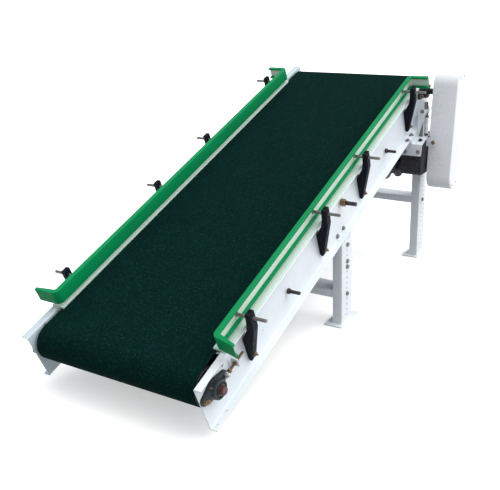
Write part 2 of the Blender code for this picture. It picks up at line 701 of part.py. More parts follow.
def leg_brace(where):
    """Channel between the two legs, its ends just clear of them."""
    front = LEG_FRONT[where]
    half = LEG_INNER_X - CLEAR
    low = BRACE_LOW[where]
    high = low + BRACE_HEIGHT
    wall = 0.003
    back = front + LEG_DEPTH
    section = [(front, low), (front + wall, low), (front + wall, high - wall),
               (back - wall, high - wall), (back - wall, low), (back, low), (back, high),
               (front, high)]
    name = "leg_brace_" + where
    place(name, outline_mesh(name, [section], 2 * half, ACROSS), WHITE_PAINT, FLOOR)


# ---------------------------------------------------------------- drive
def sprocket_outline(teeth):
    """Toothed outline and its tip radius."""
    pitch_radius = CHAIN_PITCH / (2 * sin(pi / teeth))
    root = pitch_radius - 0.004
    tip = pitch_radius + 0.0035
    loop = []
    for tooth in range(teeth):
        for radius, share in ((root, -0.22), (root, 0.22), (tip, 0.40), (tip, 0.60)):
            angle = 2 * pi * (tooth + share) / teeth
            loop.append((radius * cos(angle), radius * sin(angle)))
    return loop, tip


def driven_sprocket():
    loop, tip = sprocket_outline(DRIVEN_TEETH)
    eye = circle((0.0, 0.0), bore(SHAFT_RADIUS, 16), 16)
    mesh = outline_mesh("driven_sprocket", [loop, eye], SPROCKET_THICK, ACROSS)
    place("driven_sprocket", mesh, SPROCKET_STEEL, FLOOR, (SPROCKET_X, HEAD_Y, HEAD_Z))
    return tip


def drive_sprocket():
    """Small sprocket in one piece with the gearbox's output shaft."""
    loop, tip = sprocket_outline(DRIVE_TEETH)
    mesh = outline_mesh("drive_sprocket", [loop], SPROCKET_THICK, ACROSS)
    wheel = place("drive_sprocket", mesh, SPROCKET_STEEL, FLOOR, (SPROCKET_X, OUTPUT_Y, OUTPUT_Z))
    start = GEAR_X[1] - OUTPUT_SEAT + CLEAR
    end = SPROCKET_X + SPROCKET_THICK / 2 + 0.008
    shaft = tool("output_shaft", rod_mesh("output_shaft", OUTPUT_SHAFT, end - start, 16), FLOOR,
                 ((start + end) / 2, OUTPUT_Y, OUTPUT_Z))
    boolean(wheel, shaft, "UNION")
    return tip


def chain(high_centre, high_radius, low_centre, low_radius):
    """Closed band round both sprockets, on the outer tangents of two unequal circles."""
    gap = Vector(high_centre) - Vector(low_centre)
    axis_angle = atan2(gap.y, gap.x)

    def loop(extra):
        first = high_radius + extra
        second = low_radius + extra
        half = pi / 2 + asin((first - second) / gap.length)
        top = arc(high_centre, first, axis_angle - half, axis_angle + half, 18)
        bottom = arc(low_centre, second, axis_angle + half, axis_angle + 2 * pi - half, 14)
        return top + bottom

    mesh = outline_mesh("drive_chain", [loop(CHAIN_DEPTH), loop(0.0)], SPROCKET_THICK, ACROSS)
    place("drive_chain", mesh, SPROCKET_STEEL, FLOOR, (SPROCKET_X, 0.0, 0.0))


def chain_guard():
    back_thick = 0.0025
    low, high = GUARD_LOW, GUARD_HIGH
    plate = [capsule(low, high, GUARD_RADIUS, 12),
             circle((HEAD_Y, HEAD_Z), SHAFT_RADIUS + 0.003, 16),
             circle((OUTPUT_Y, OUTPUT_Z), OUTPUT_SHAFT + 0.003, 16)]
    mesh = outline_mesh("chain_guard_back", plate, back_thick, ACROSS)
    place("chain_guard_back", mesh, GUARD_PAINT, FLOOR, (GUARD_INNER_X + back_thick / 2, 0.0, 0.0))
    start = GUARD_INNER_X + back_thick + CLEAR
    depth = GUARD_OUTER_X - start
    mesh = outline_mesh("chain_guard_cover", [capsule(low, high, GUARD_RADIUS, 12)], depth, ACROSS)
    cover = place("chain_guard_cover", mesh, GUARD_PAINT, FLOOR, (start + depth / 2, 0.0, 0.0))
    room = capsule(low, high, GUARD_RADIUS - SHEET, 12)
    room_name = "chain_guard_cover_room"
    hollow = tool(room_name, outline_mesh(room_name, [room], depth, ACROSS), FLOOR,
                  (start + depth / 2 - SHEET, 0.0, 0.0))
    boolean(cover, hollow, "DIFFERENCE")


def hanger_height(y, normal):
    """Height at a distance y from the infeed end on a plane at a given n."""
    along = (y + normal * sin(SLOPE)) / cos(SLOPE)
    return slope_to_floor(along, normal)[1]


def gearbox():
    """Case whose sloping top lies just under the hanger, with a round boss behind the guard."""
    front, back = GEAR_Y
    under = HANGER_TOP - HANGER_THICK - CLEAR
    side = [(front, GEAR_LOW), (back, GEAR_LOW), (back, hanger_height(back, under)),
            (front, hanger_height(front, under))]
    middle = (GEAR_X[0] + GEAR_X[1]) / 2
    mesh = outline_mesh("gearbox", [side], GEAR_X[1] - GEAR_X[0], ACROSS)
    box = place("gearbox", mesh, MOTOR_PAINT, FLOOR, (middle, 0.0, 0.0))
    nose_low = FLANGE_X + 0.004
    nose_length = GEAR_X[1] - 0.001 - nose_low
    nose = tool("gearbox_nose", rod_mesh("gearbox_nose", OUTPUT_RADIUS, nose_length, 24), FLOOR,
                (nose_low + nose_length / 2, OUTPUT_Y, OUTPUT_Z))
    boolean(box, nose, "UNION")
    hole(box, bore(OUTPUT_SHAFT, 16), 2 * OUTPUT_SEAT, (GEAR_X[1], OUTPUT_Y, OUTPUT_Z), "shaft_seat")


def motor_housing():
    """Round motor with its adapter, flange and cooling ribs, drawn as a turned profile."""
    profile = [(0.0, MOTOR_STEPS[0][0])]
    ends = [x for x, radius in MOTOR_STEPS[1:]] + [MOTOR_STEPS[-1][0] - MOTOR_RIB]
    for (start, radius), end in zip(MOTOR_STEPS, ends):
        profile += [(radius, start), (radius, end)]
    x = ends[-1]
    valley = MOTOR_RADIUS - MOTOR_RIB_DEPTH
    while x - 2 * MOTOR_RIB > MOTOR_END:
        profile += [(valley, x), (valley, x - MOTOR_RIB), (MOTOR_RADIUS, x - MOTOR_RIB),
                    (MOTOR_RADIUS, x - 2 * MOTOR_RIB)]
        x -= 2 * MOTOR_RIB
    shaft_end = COWL_X[0] + FAN_GAP - 0.006
    profile += [(MOTOR_RADIUS, MOTOR_END), (MOTOR_SHAFT, MOTOR_END), (MOTOR_SHAFT, shaft_end),
                (0.0, shaft_end)]
    lathe("motor_housing", [profile], 18, MOTOR_PAINT, FLOOR, (0.0, MOTOR_Y, MOTOR_Z))


def motor_fan():
    hub_start = COWL_X[0] + FAN_GAP
    loop = []
    blades = 8
    for blade in range(blades):
        base = 2 * pi * blade / blades
        for radius, share in ((FAN_ROOT, -0.30), (FAN_ROOT, -0.14), (FAN_TIP, -0.05),
                              (FAN_TIP, 0.05), (FAN_ROOT, 0.14), (FAN_ROOT, 0.30)):
            angle = base + 2 * pi * share / blades
            loop.append((radius * cos(angle), radius * sin(angle)))
    eye = circle((0.0, 0.0), bore(MOTOR_SHAFT, 12), 12)
    mesh = outline_mesh("motor_fan", [loop, eye], FAN_LENGTH, ACROSS)
    place("motor_fan", mesh, FAN_PLASTIC, FLOOR, (hub_start + FAN_LENGTH / 2, MOTOR_Y, MOTOR_Z))


def fan_cowl():
    start, end = COWL_X
    outer = MOTOR_RADIUS
    inner = outer - SHEET
    edge = 0.010                # chamfer round the mouth
    profile = [(inner, end), (outer, end), (outer, start + edge), (outer - edge, start),
               (COWL_EYE, start), (COWL_EYE, start + SHEET), (inner - edge, start + SHEET),
               (inner, start + edge + SHEET)]
    lathe("fan_cowl", [profile], 18, MOTOR_PAINT, FLOOR, (0.0, MOTOR_Y, MOTOR_Z))


def motor_hanger():
    """Base plate under the frame with a lip, an upright angle, a top plate and a guard strap."""
    start, end = HANGER_S
    size, centre = span_box((GEAR_X[0], start, HANGER_TOP - HANGER_THICK),
                            (HANGER_EDGE_X, end, HANGER_TOP))
    hanger = place("motor_hanger", box_mesh("motor_hanger", size), WHITE_PAINT, INCLINE, centre)
    box_tool(hanger, (SPACER_X[0], start, HANGER_TOP - 0.001),
             (SPACER_X[1], end, -FRAME_DEPTH - CLEAR), "UNION", "spacer")
    lip_y, lip_z = slope_to_floor(start, HANGER_TOP)
    front, back = UPRIGHT_Y
    inner, outer = UPRIGHT_X
    plates = {
        "lip": ((GEAR_X[0], lip_y, LIP_LOW), (HANGER_EDGE_X - 0.0005, lip_y + 0.0048, lip_z - 0.001)),
        "upright": ((inner, front, hanger_height(front, HANGER_TOP) - 0.003),
                    (outer, front + UPRIGHT_THICK, UPRIGHT_TOP)),
        "strap": ((HANGER_EDGE_X - 0.003, front, STRAP_Z[0]),
                  (STRAP_X, front + UPRIGHT_THICK, STRAP_Z[1])),
    }
    for label, (low, high) in plates.items():
        size, centre = span_box(low, high)
        name = "motor_hanger_" + label
        boolean(hanger, tool(name, box_mesh(name, size), FLOOR, centre), "UNION")
    side = [(front + 0.001, hanger_height(front, HANGER_TOP) - 0.003),
            (back, hanger_height(back, HANGER_TOP) - 0.003), (back, STAY_TOP),
            (front + 0.001, STAY_TOP)]
    name = "motor_hanger_stay"
    helper = tool(name, outline_mesh(name, [side], UPRIGHT_THICK, ACROSS), FLOOR,
                  (outer - UPRIGHT_THICK / 2 - 0.0005, 0.0, 0.0))
    boolean(hanger, helper, "UNION")


def tension_rod():
    """Upright adjusting rod that stands on the hanger's base plate, with a nut at each end."""
    x, y = ROD_SPOT
    bottom = hanger_height(y + ROD_NUT_RADIUS, HANGER_TOP) + CLEAR
    length = ROD_LENGTH
    radius = SCREW_RADIUS
    half = [(0.0, length), (radius, length), (radius, length - 0.012),
            (ROD_NUT_RADIUS, length - 0.012), (ROD_NUT_RADIUS, length - 0.022),
            (radius, length - 0.022), (radius, 0.010), (ROD_NUT_RADIUS, 0.010),
            (ROD_NUT_RADIUS, 0.0), (0.0, 0.0)]
    made = lathe("tension_rod", [half], 12, BRIGHT_STEEL, FLOOR, (x, y, bottom))
    made.rotation_euler = (0.0, 0.0, 0.0)


# ---------------------------------------------------------------- assembly
for side_name in SIDES:
    side_frame(side_name)
    edge_strip(side_name)
    flange_bearing("tail_bearing_" + side_name, side_name, TAIL_S)
    flange_bearing("head_bearing_" + side_name, side_name, HEAD_S)
    take_up_screw(side_name)
    guide_rail(side_name)
    for index, position in enumerate(BRACKET_S[side_name]):
        guide_bracket(side_name, index + 1, position)
        guide_rod(side_name, index + 1, position)
    for leg_name in LEG_FRONT:
        leg(side_name, leg_name)
        leg_mount(side_name, leg_name)

slider_bed()
belt()
tail_stub = WEB_OUTER_X + BEARING_HUB + 0.013
drum("tail_pulley", TAIL_S, tail_stub, tail_stub)
drum("head_pulley", HEAD_S, tail_stub, SPROCKET_X + 0.014)
for roller_name, roller_s in ROLLER_S.items():
    return_roller(roller_name)
    through_rod("return_axle_" + roller_name, AXLE_RADIUS, AXLE_STUB, AXLE_COLLAR, roller_s, ROLLER_N)
through_rod("tie_rod", TIE_RADIUS, TIE_STUB, TIE_COLLAR, TIE_S, TIE_N)
for leg_name in LEG_FRONT:
    leg_brace(leg_name)

driven_tip = driven_sprocket()
drive_tip = drive_sprocket()
chain((HEAD_Y, HEAD_Z), driven_tip + 2 * CLEAR, (OUTPUT_Y, OUTPUT_Z), drive_tip + 2 * CLEAR)
chain_guard()
gearbox()
motor_housing()
motor_fan()
fan_cowl()
motor_hanger()
tension_rod()
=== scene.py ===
"""Visual model of an inclined belt conveyor section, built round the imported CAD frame.

Metres throughout.  Most pieces are drawn in one of two frames and then moved into the row frame:
  slope: (x, s, n), x across from the middle of the belt, s up the slope, n normal to it
  floor: (x, y, z), y horizontal from the infeed end, z up from the floor
"""

import json
from math import acos, atan2, cos, hypot, pi, radians, sin

import bmesh
import bpy
from mathutils import Matrix, Vector


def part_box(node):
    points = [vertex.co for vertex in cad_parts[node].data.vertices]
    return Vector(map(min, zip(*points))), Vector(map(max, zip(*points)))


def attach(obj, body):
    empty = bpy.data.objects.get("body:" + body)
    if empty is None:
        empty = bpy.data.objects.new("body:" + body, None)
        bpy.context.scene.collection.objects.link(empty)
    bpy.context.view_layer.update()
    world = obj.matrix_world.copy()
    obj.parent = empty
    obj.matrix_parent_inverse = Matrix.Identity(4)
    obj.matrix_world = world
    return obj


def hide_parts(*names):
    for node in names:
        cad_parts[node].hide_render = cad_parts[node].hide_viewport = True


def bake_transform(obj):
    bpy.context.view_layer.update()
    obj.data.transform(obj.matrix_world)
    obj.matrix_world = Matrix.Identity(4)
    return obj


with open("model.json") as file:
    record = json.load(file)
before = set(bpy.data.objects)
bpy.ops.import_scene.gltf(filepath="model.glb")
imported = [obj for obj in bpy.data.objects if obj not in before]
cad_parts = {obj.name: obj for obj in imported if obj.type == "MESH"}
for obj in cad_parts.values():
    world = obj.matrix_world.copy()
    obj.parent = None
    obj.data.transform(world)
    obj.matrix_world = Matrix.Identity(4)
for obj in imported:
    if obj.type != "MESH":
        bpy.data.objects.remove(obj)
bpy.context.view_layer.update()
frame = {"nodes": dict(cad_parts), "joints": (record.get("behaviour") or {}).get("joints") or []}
JOINTS = {joint["name"]: joint for joint in frame["joints"]}
SCENE = bpy.context.scene
SIDES = {"left": -1, "right": 1}
UP, DOWN, FRONT, ALONG = (0, 0, 1), (0, 0, -1), (0, -1, 0), (0, 1, 0)

# -------- the two drawing frames
TAIL_S, HEAD_S, SHAFT_N = 0.073, 2.09, -0.07254
UP_SLOPE = Vector(JOINTS["take_up_slide"]["axis"]).normalized()
OFF_SLOPE = Vector((1.0, 0.0, 0.0)).cross(UP_SLOPE)
ZERO = Vector(JOINTS["tail_drum_spin"]["pos_m"]) - UP_SLOPE * TAIL_S - OFF_SLOPE * SHAFT_N
SLOPE = Matrix(((1.0, 0.0, 0.0), UP_SLOPE, OFF_SLOPE)).transposed().to_4x4()
SLOPE.translation = ZERO
FLOOR = Matrix.Translation((ZERO.x, ZERO.y, 0.0))
TO_SLOPE = SLOPE.inverted() @ FLOOR

# -------- sizes
WEB_IN, WEB_OUT, FLANGE_X = 0.365, 0.369, 0.395
FRAME_END, FRAME_DEPTH, FRAME_THICK = 2.165, 0.2, 0.004
BELT_HALF, BELT_THICK = 0.35, 0.003
DRUM_R, EAR_S = 0.0682, 0.056
GAP, WASHER = 0.0003, 0.0016
FACE = WEB_OUT + GAP
ROLLER_S, ROLLER_N, ROLLER_R = {"near": 0.579, "far": 1.563}, -0.105, 0.025
TIE_S, TIE_N = 1.08, -0.056
STRIP_S, STRIP_X, STRIP_TOP = (0.164, 1.975), (0.337, 0.392), 0.009
RAIL_X, RAIL_S = {"left": 0.331, "right": 0.359}, {"left": (0.158, 1.98), "right": (0.15, 1.952)}
RAIL_TIP, RAIL_FLARE = {"left": (0.438, 0.436), "right": (0.452, 0.461)}, {"left": 0.0, "right": 0.22}
RAIL_N, RAIL_DEPTH, RAIL_WALL, RAIL_LIP, RAIL_BEND = (0.025, 0.081), 0.021, 0.005, 0.008, 0.026
RAIL_TAPER, BACKING = 0.55, 0.009
BRACKET_S = {"left": (0.285, 0.88, 1.28, 1.87), "right": (0.285, 0.862, 1.262, 1.838)}
BRACKET_X = {"left": 0.4105, "right": 0.4325}
BRACKET_NECK = {"left": ((0.392, 0.077), (0.392, 0.024), (0.397, 0.01), (0.397, -0.002)),
                "right": ((0.414, 0.077), (0.409, 0.035), (0.4045, 0.016), (0.4, -0.002))}
ROD_N, ROD_R, ROD_END = 0.054, 0.006, {"left": 0.462, "right": 0.485}
SCREW_X, ANGLE_S = 0.386, 0.188
LEG_FRONT, LEG_DEPTH, LEG_X, LEG_WALL = {"mid": 0.995, "far": 1.937}, 0.101, (0.3515, 0.395), 0.003
LEG_HOLE_LOW, LEG_PITCH, LEG_BOLT = 0.035, 0.025, (0.015, 0.0065, 0.0105)
LEG_BOLT_Z = {"mid": (0.135, 0.26, 0.285, 0.36), "far": (0.31, 0.585, 0.66, 0.685)}
LUG_BOLT_SN = {"mid": ((1.003, -0.176), (1.062, -0.177)), "far": ((2.01, -0.175), (2.068, -0.175))}
BRACE_LOW, BRACE_HEIGHT, FOOT_THICK, FOOT_SINK = {"mid": 0.126, "far": 0.2985}, 0.035, 0.006, 0.0005
GUARD_X, GUARD_R = (0.45, 0.573), 0.0725
GUARD_LOW, GUARD_HIGH = (1.944, 0.4725), (1.987, 0.9125)
GEAR_X, GEAR_Y, GEAR_LOW = (0.337, 0.444), (1.8, 1.9305), 0.4875
OUTPUT_YZ, COVER_XZ, MOTOR_YZ, MOTOR_R = (1.945, 0.53), (0.398, 0.536), (1.865, 0.536), 0.077
MOTOR_X, COWL_X = (0.09, 0.3367), (0.025, 0.0897)
PLATE_S, PLATE_N, PLATE_THICK, PLATE_EDGE = (1.826, 1.945), -0.2255, 0.005, 0.4475
SPACER_X, LIP_LOW = (0.371, 0.394), 0.588
UPRIGHT_X, UPRIGHT_Y, UPRIGHT_TOP, STAY_TOP = (0.3957, 0.43), (1.862, 1.925), 0.85, 0.816
STRAP_X, STRAP_Z, ROD_SPOT, ROD_LENGTH = 0.495, (0.627, 0.67), (0.44, 1.8745), 0.11


# -------- materials
def wired(tree, kind, inputs, **settings):
    """A new node whose inputs, by name or number, are set to values or linked to sockets."""
    made = tree.nodes.new(kind)
    for name, value in settings.items():
        setattr(made, name, value)
    for key, value in inputs.items():
        if isinstance(value, bpy.types.NodeSocket):
            tree.links.new(value, made.inputs[key])
        else:
            made.inputs[key].default_value = value
    return made


def mixed(tree, factor, *colours):
    first, second = [c if isinstance(c, bpy.types.NodeSocket) else (*c, 1.0) for c in colours]
    return wired(tree, "ShaderNodeMix", {0: factor, 6: first, 7: second}, data_type="RGBA").outputs[2]


def noise(tree, where, scale, detail=3.0, rough=0.55):
    inputs = {"Vector": where, "Scale": scale, "Detail": detail, "Roughness": rough}
    return wired(tree, "ShaderNodeTexNoise", inputs).outputs["Fac"]


def spread(tree, value, low, high, out_low=0.0, out_high=1.0):
    inputs = {"Value": value, "From Min": low, "From Max": high, "To Min": out_low, "To Max": out_high}
    return wired(tree, "ShaderNodeMapRange", inputs).outputs["Result"]


def maths(tree, operation, first, second=0.0):
    return wired(tree, "ShaderNodeMath", {0: first, 1: second}, operation=operation).outputs[0]


def surface(name, base, other, patch=4.0, rough=(0.3, 0.5), metallic=0.0, grain=300.0,
            bump=0.05, depth=0.0004, specks=None, wear=None, shine=0.5, stretch=(1, 1, 1), weave=0.0):
    """A finish with broad patches of two colours, grain, optional specks, worn edges and weave."""
    made = bpy.data.materials.new(name)
    made.use_nodes = True
    tree = made.node_tree
    shader = tree.nodes["Principled BSDF"]
    shader.inputs["Metallic"].default_value = metallic
    shader.inputs["Specular IOR Level"].default_value = shine
    place = tree.nodes.new("ShaderNodeTexCoord").outputs["Object"]
    where = wired(tree, "ShaderNodeMapping", {"Vector": place, "Scale": stretch}).outputs["Vector"]
    broad = noise(tree, where, patch, 5.0, 0.6)
    fine = noise(tree, where, grain, 3.0)
    colour = mixed(tree, spread(tree, broad, 0.35, 0.68), base, other)
    height = fine
    if specks:
        tint, scale, cut = specks
        spots = spread(tree, noise(tree, place, scale, 2.0), cut, cut + 0.1)
        colour = mixed(tree, spots, colour, tint)
    if weave:
        run = wired(tree, "ShaderNodeUVMap", {}, uv_map="run").outputs["UV"]
        split = wired(tree, "ShaderNodeSeparateXYZ", {"Vector": run})
        turns = 2 * pi / weave
        warp = maths(tree, "SINE", maths(tree, "MULTIPLY", split.outputs[0], turns))
        weft = maths(tree, "SINE", maths(tree, "MULTIPLY", split.outputs[1], turns))
        cloth = maths(tree, "MULTIPLY", warp, weft)
        height = maths(tree, "ADD", maths(tree, "MULTIPLY", cloth, 0.5), fine)
        dark = tuple(0.55 * c for c in base)
        colour = mixed(tree, spread(tree, cloth, -1.0, 1.0, 0.35, 0.0), colour, dark)
    if wear:
        tint, amount = wear
        edge = tree.nodes.new("ShaderNodeNewGeometry").outputs["Pointiness"]
        worn = spread(tree, edge, 0.53, 0.62, 0.0, amount)
        patches = spread(tree, noise(tree, place, 90.0, 4.0), 0.45, 0.6)
        colour = mixed(tree, maths(tree, "MULTIPLY", worn, patches), colour, tint)
    tree.links.new(colour, shader.inputs["Base Color"])
    tree.links.new(spread(tree, broad, 0.3, 0.7, *rough), shader.inputs["Roughness"])
    relief = wired(tree, "ShaderNodeBump", {"Strength": bump, "Distance": depth, "Height": height})
    tree.links.new(relief.outputs["Normal"], shader.inputs["Normal"])
    return made


WHITE = surface("powder_coat_white", (0.755, 0.8, 0.845), (0.7, 0.755, 0.805), 3.0,
                (0.36, 0.5), grain=700.0, bump=0.2, specks=((0.6, 0.64, 0.68), 55.0, 0.74),
                wear=((0.42, 0.43, 0.45), 0.5))
# Painted shade: a darker, bluer copy of the white powder coat, so that the left side frame reads as lying in
# shade.
PAINTED_SHADE_WHITE = surface("powder_coat_painted_shade", (0.5, 0.585, 0.63), (0.45, 0.54, 0.59), 3.0,
                 (0.4, 0.54), grain=700.0, bump=0.2, specks=((0.42, 0.47, 0.5), 55.0, 0.72),
                 wear=((0.3, 0.32, 0.34), 0.5))
BELT = surface("belt_cover_green", (0.0012, 0.0125, 0.0112), (0.0018, 0.017, 0.0145), 14.0,
               (0.8, 0.95), grain=900.0, bump=0.55, specks=((0.0048, 0.031, 0.0225), 140.0, 0.54),
               weave=0.0024, shine=0.02)
STRIP = surface("wear_strip_cream", (0.5, 0.64, 0.56), (0.55, 0.68, 0.6), 9.0, (0.45, 0.6),
                grain=500.0, bump=0.12, specks=((0.44, 0.56, 0.49), 60.0, 0.72))
GREEN = surface("rail_green_plastic", (0.001, 0.235, 0.078), (0.002, 0.2, 0.066), 7.0,
                (0.5, 0.62), grain=450.0, bump=0.1, stretch=(1, 0.3, 1),
                specks=((0.006, 0.27, 0.1), 220.0, 0.66), shine=0.1)
OFFWHITE = surface("rail_back_offwhite", (0.66, 0.78, 0.68), (0.6, 0.71, 0.62), 11.0,
                   (0.38, 0.52), grain=500.0, bump=0.1, specks=((0.48, 0.54, 0.48), 70.0, 0.7))
BLACK = surface("moulded_black", (0.0012, 0.0028, 0.0065), (0.0028, 0.0045, 0.0095), 30.0,
                (0.55, 0.7), grain=1200.0, bump=0.45, wear=((0.03, 0.03, 0.045), 0.5), shine=0.1)
STEEL = surface("turned_steel", (0.16, 0.15, 0.15), (0.22, 0.21, 0.2), 40.0, (0.38, 0.52),
                0.75, 900.0, 0.15, specks=((0.09, 0.07, 0.06), 120.0, 0.62))
ZINC = surface("zinc_grey", (0.26, 0.26, 0.25), (0.17, 0.17, 0.17), 60.0, (0.38, 0.54), 0.8,
               800.0, 0.12, specks=((0.08, 0.07, 0.06), 200.0, 0.6))
BRASS = surface("zinc_yellow", (0.24, 0.165, 0.085), (0.15, 0.095, 0.055), 80.0, (0.38, 0.52),
                0.75, 800.0, 0.12, specks=((0.07, 0.04, 0.03), 240.0, 0.58))
CAST = surface("cast_green_black", (0.0045, 0.013, 0.017), (0.008, 0.019, 0.024), 26.0,
               (0.4, 0.58), 0.0, 380.0, 0.6, specks=((0.018, 0.04, 0.042), 150.0, 0.68),
               wear=((0.06, 0.07, 0.07), 0.7), shine=0.35)
SHAFT = surface("shaft_end_brown", (0.1, 0.042, 0.036), (0.06, 0.028, 0.026), 70.0, (0.4, 0.6),
                0.5, 700.0, 0.3, specks=((0.17, 0.09, 0.07), 190.0, 0.62))
DRUM = surface("drum_steel", (0.03, 0.028, 0.03), (0.018, 0.017, 0.02), 30.0, (0.45, 0.62), 0.6,
               500.0, 0.15)
GALV = surface("galvanised", (0.5, 0.52, 0.53), (0.62, 0.64, 0.65), 60.0, (0.3, 0.5), 0.75,
               300.0, 0.1, specks=((0.4, 0.42, 0.43), 45.0, 0.58))
GUARD = surface("guard_speckled", (0.84, 0.85, 0.88), (0.79, 0.8, 0.84), 5.0, (0.4, 0.54),
                grain=420.0, bump=0.45, specks=((0.92, 0.93, 0.95), 260.0, 0.55), wear=((0.6, 0.6, 0.6), 0.4))
MOTOR = surface("motor_enamel", (0.0062, 0.0064, 0.011), (0.0105, 0.0104, 0.0155), 20.0,
                (0.42, 0.58), 0.0, 420.0, 0.5, specks=((0.035, 0.035, 0.04), 140.0, 0.7),
                wear=((0.06, 0.06, 0.065), 0.6), shine=0.35)
OILED = surface("oiled_steel", (0.06, 0.05, 0.055), (0.035, 0.03, 0.032), 60.0, (0.32, 0.5),
                0.7, 600.0, 0.2)
FAN = surface("fan_plastic", (0.018, 0.018, 0.019), (0.028, 0.028, 0.03), 40.0, (0.4, 0.6),
              0.0, 700.0, 0.3)
GROUND = surface("studio_floor", (0.83, 0.83, 0.83), (0.81, 0.81, 0.81), 1.2, (0.75, 0.85),
                 grain=120.0, bump=0.03)


# -------- outlines
def arc(centre, radius, start, end, steps):
    angles = [start + (end - start) * i / steps for i in range(steps + 1)]
    return [(centre[0] + radius * cos(a), centre[1] + radius * sin(a)) for a in angles]


def circle(centre, radius, steps):
    return arc(centre, radius, 0.0, 2 * pi * (steps - 1) / steps, steps - 1)


def capsule(low, high, radius, steps=12):
    lean = atan2(high[1] - low[1], high[0] - low[0])
    return (arc(high, radius, lean - pi / 2, lean + pi / 2, steps)
            + arc(low, radius, lean + pi / 2, lean + 3 * pi / 2, steps))


def rounded(points, radii, steps=4):
    """A polygon with its corners rounded by one radius, or by one radius each."""
    count = len(points)
    radii = radii if isinstance(radii, (list, tuple)) else [radii] * count
    out = []
    for i, point in enumerate(points):
        here = Vector(point)
        back = Vector(points[i - 1]) - here
        on = Vector(points[(i + 1) % count]) - here
        half = back.angle(on) / 2
        reach = min(radii[i] / max(abs(sin(half) / cos(half)), 0.01), back.length * 0.45, on.length * 0.45)
        first, last = here + back.normalized() * reach, here + on.normalized() * reach
        for k in range(steps + 1):
            t = k / steps
            bend = first * (1 - t) ** 2 + here * 2 * t * (1 - t) + last * t * t
            out.append((bend.x, bend.y))
    return out


def channel(low, high, wall, sign, bend):
    """Section of a channel with its back at x = low and its lips at x = high, in (x, v)."""
    (x0, x1), (v0, v1) = low, high
    inner = x0 + (wall if x1 > x0 else -wall)
    corners = [(x0, v0), (x1, v0), (x1, v0 + wall), (inner, v0 + wall), (inner, v1 - wall),
               (x1, v1 - wall), (x1, v1), (x0, v1)]
    small = wall * 0.3
    radii = [bend, small, small, bend * 0.4, bend * 0.4, small, small, bend]
    return [(sign * x, v) for x, v in rounded(corners, radii)]


# -------- meshes
def across(u, v, w):
    return (w, u, v)


def lengthwise(u, v, w):
    return (u, w, v)


def upright(u, v, w):
    return (u, v, w)


def loft(rings, closed=False):
    """A skin through rings of equally many points, capped at both ends unless closed."""
    shape = bmesh.new()
    rows = [[shape.verts.new(point) for point in ring] for ring in rings]
    pairs = list(zip(rows, rows[1:])) + ([(rows[-1], rows[0])] if closed else [])
    for a, b in pairs:
        for i in range(len(a)):
            shape.faces.new((a[i - 1], a[i], b[i], b[i - 1]))
    if not closed:
        shape.faces.new(rows[0])
        shape.faces.new(rows[-1])
    bmesh.ops.recalc_face_normals(shape, faces=shape.faces)
    return shape


def prism(outline, low, high, turn):
    return loft([[turn(u, v, w) for u, v in outline] for w in (low, high)])


def block(low, high, edge=0.0, turn=across):
    """A box whose four long edges, along the third axis of turn, are rounded."""
    u, v, w = {across: (1, 2, 0), lengthwise: (0, 2, 1), upright: (0, 1, 2)}[turn]
    corners = [(low[u], low[v]), (high[u], low[v]), (high[u], high[v]), (low[u], high[v])]
    return prism(rounded(corners, edge) if edge else corners, low[w], high[w], turn)


def skin(shape, pairs, steps):
    """Faces between pairs of rows, where a row of one point is the tip of a fan."""
    for a, b in pairs:
        for i in range(steps):
            corners = [a[i % len(a)], a[(i + 1) % len(a)], b[(i + 1) % len(b)], b[i % len(b)]]
            unique = list(dict.fromkeys(corners))
            if len(unique) > 2:
                shape.faces.new(unique)
    bmesh.ops.recalc_face_normals(shape, faces=shape.faces)
    return shape


def both_ends(profile):
    """A (radius, w) profile followed by its mirror image."""
    return profile + [(radius, -w) for radius, w in reversed(profile)]


def lathe(profile, steps=32, turn=across, centre=(0.0, 0.0)):
    """Turns a closed (radius, w) profile about the third axis of turn."""
    shape = bmesh.new()
    rows = []
    for radius, w in profile:
        ring = circle(centre, radius, steps) if radius > 0.0 else [centre]
        rows.append([shape.verts.new(turn(u, v, w)) for u, v in ring])
    pairs = list(zip(rows, rows[1:]))
    if profile[0][0] > 0.0:
        pairs.append((rows[-1], rows[0]))
    return skin(shape, pairs, steps)


def threaded(radius, pitch, length, steps=14):
    """A threaded stud along +Z from the origin, with plain ends."""
    depth = pitch * 0.55
    turns = int(length / pitch)
    rows = [[(0.0, 0.0)], [(radius - depth, 0.0)] * steps]
    count = turns * 5
    for k in range(count + 1):
        row = []
        for i in range(steps):
            z = length * k / count
            phase = (z / pitch - i / steps) % 1.0
            ridge = abs(2 * phase - 1)
            row.append((radius - depth * (1 - ridge), min(max(z, pitch * 0.3), length - pitch * 0.3)))
        rows.append(row)
    rows += [[(radius - depth, length)] * steps, [(0.0, length)]]
    shape = bmesh.new()
    made = []
    for row in rows:
        made.append([shape.verts.new((r * cos(2 * pi * i / steps), r * sin(2 * pi * i / steps), z))
                     for i, (r, z) in enumerate(row)])
    return skin(shape, zip(made, made[1:]), steps)


def hexagon(flats, height):
    """Nut or bolt head along +Z, with chamfered corners."""
    full = rounded(circle((0.0, 0.0), flats / 3 ** 0.5, 6), flats * 0.04, 2)
    return loft([[(u * share, v * share, z) for u, v in full]
                 for share, z in ((1.0, 0.0), (1.0, height * 0.82), (0.88, height))])


def disc(radius, height, hole=0.0):
    edge = min(height * 0.3, radius * 0.2)
    profile = [(hole, 0.0), (radius - edge, 0.0), (radius, edge), (radius, height - edge),
               (radius - edge, height), (hole, height)]
    return lathe(profile, 24, upright)


def at(shape, position, direction):
    """Moves a shape drawn along +Z so that it stands at a position and points along a direction."""
    turn = Vector(direction).to_track_quat("Z", "Y").to_matrix().to_4x4()
    shape.transform(Matrix.Translation(position) @ turn)
    return shape


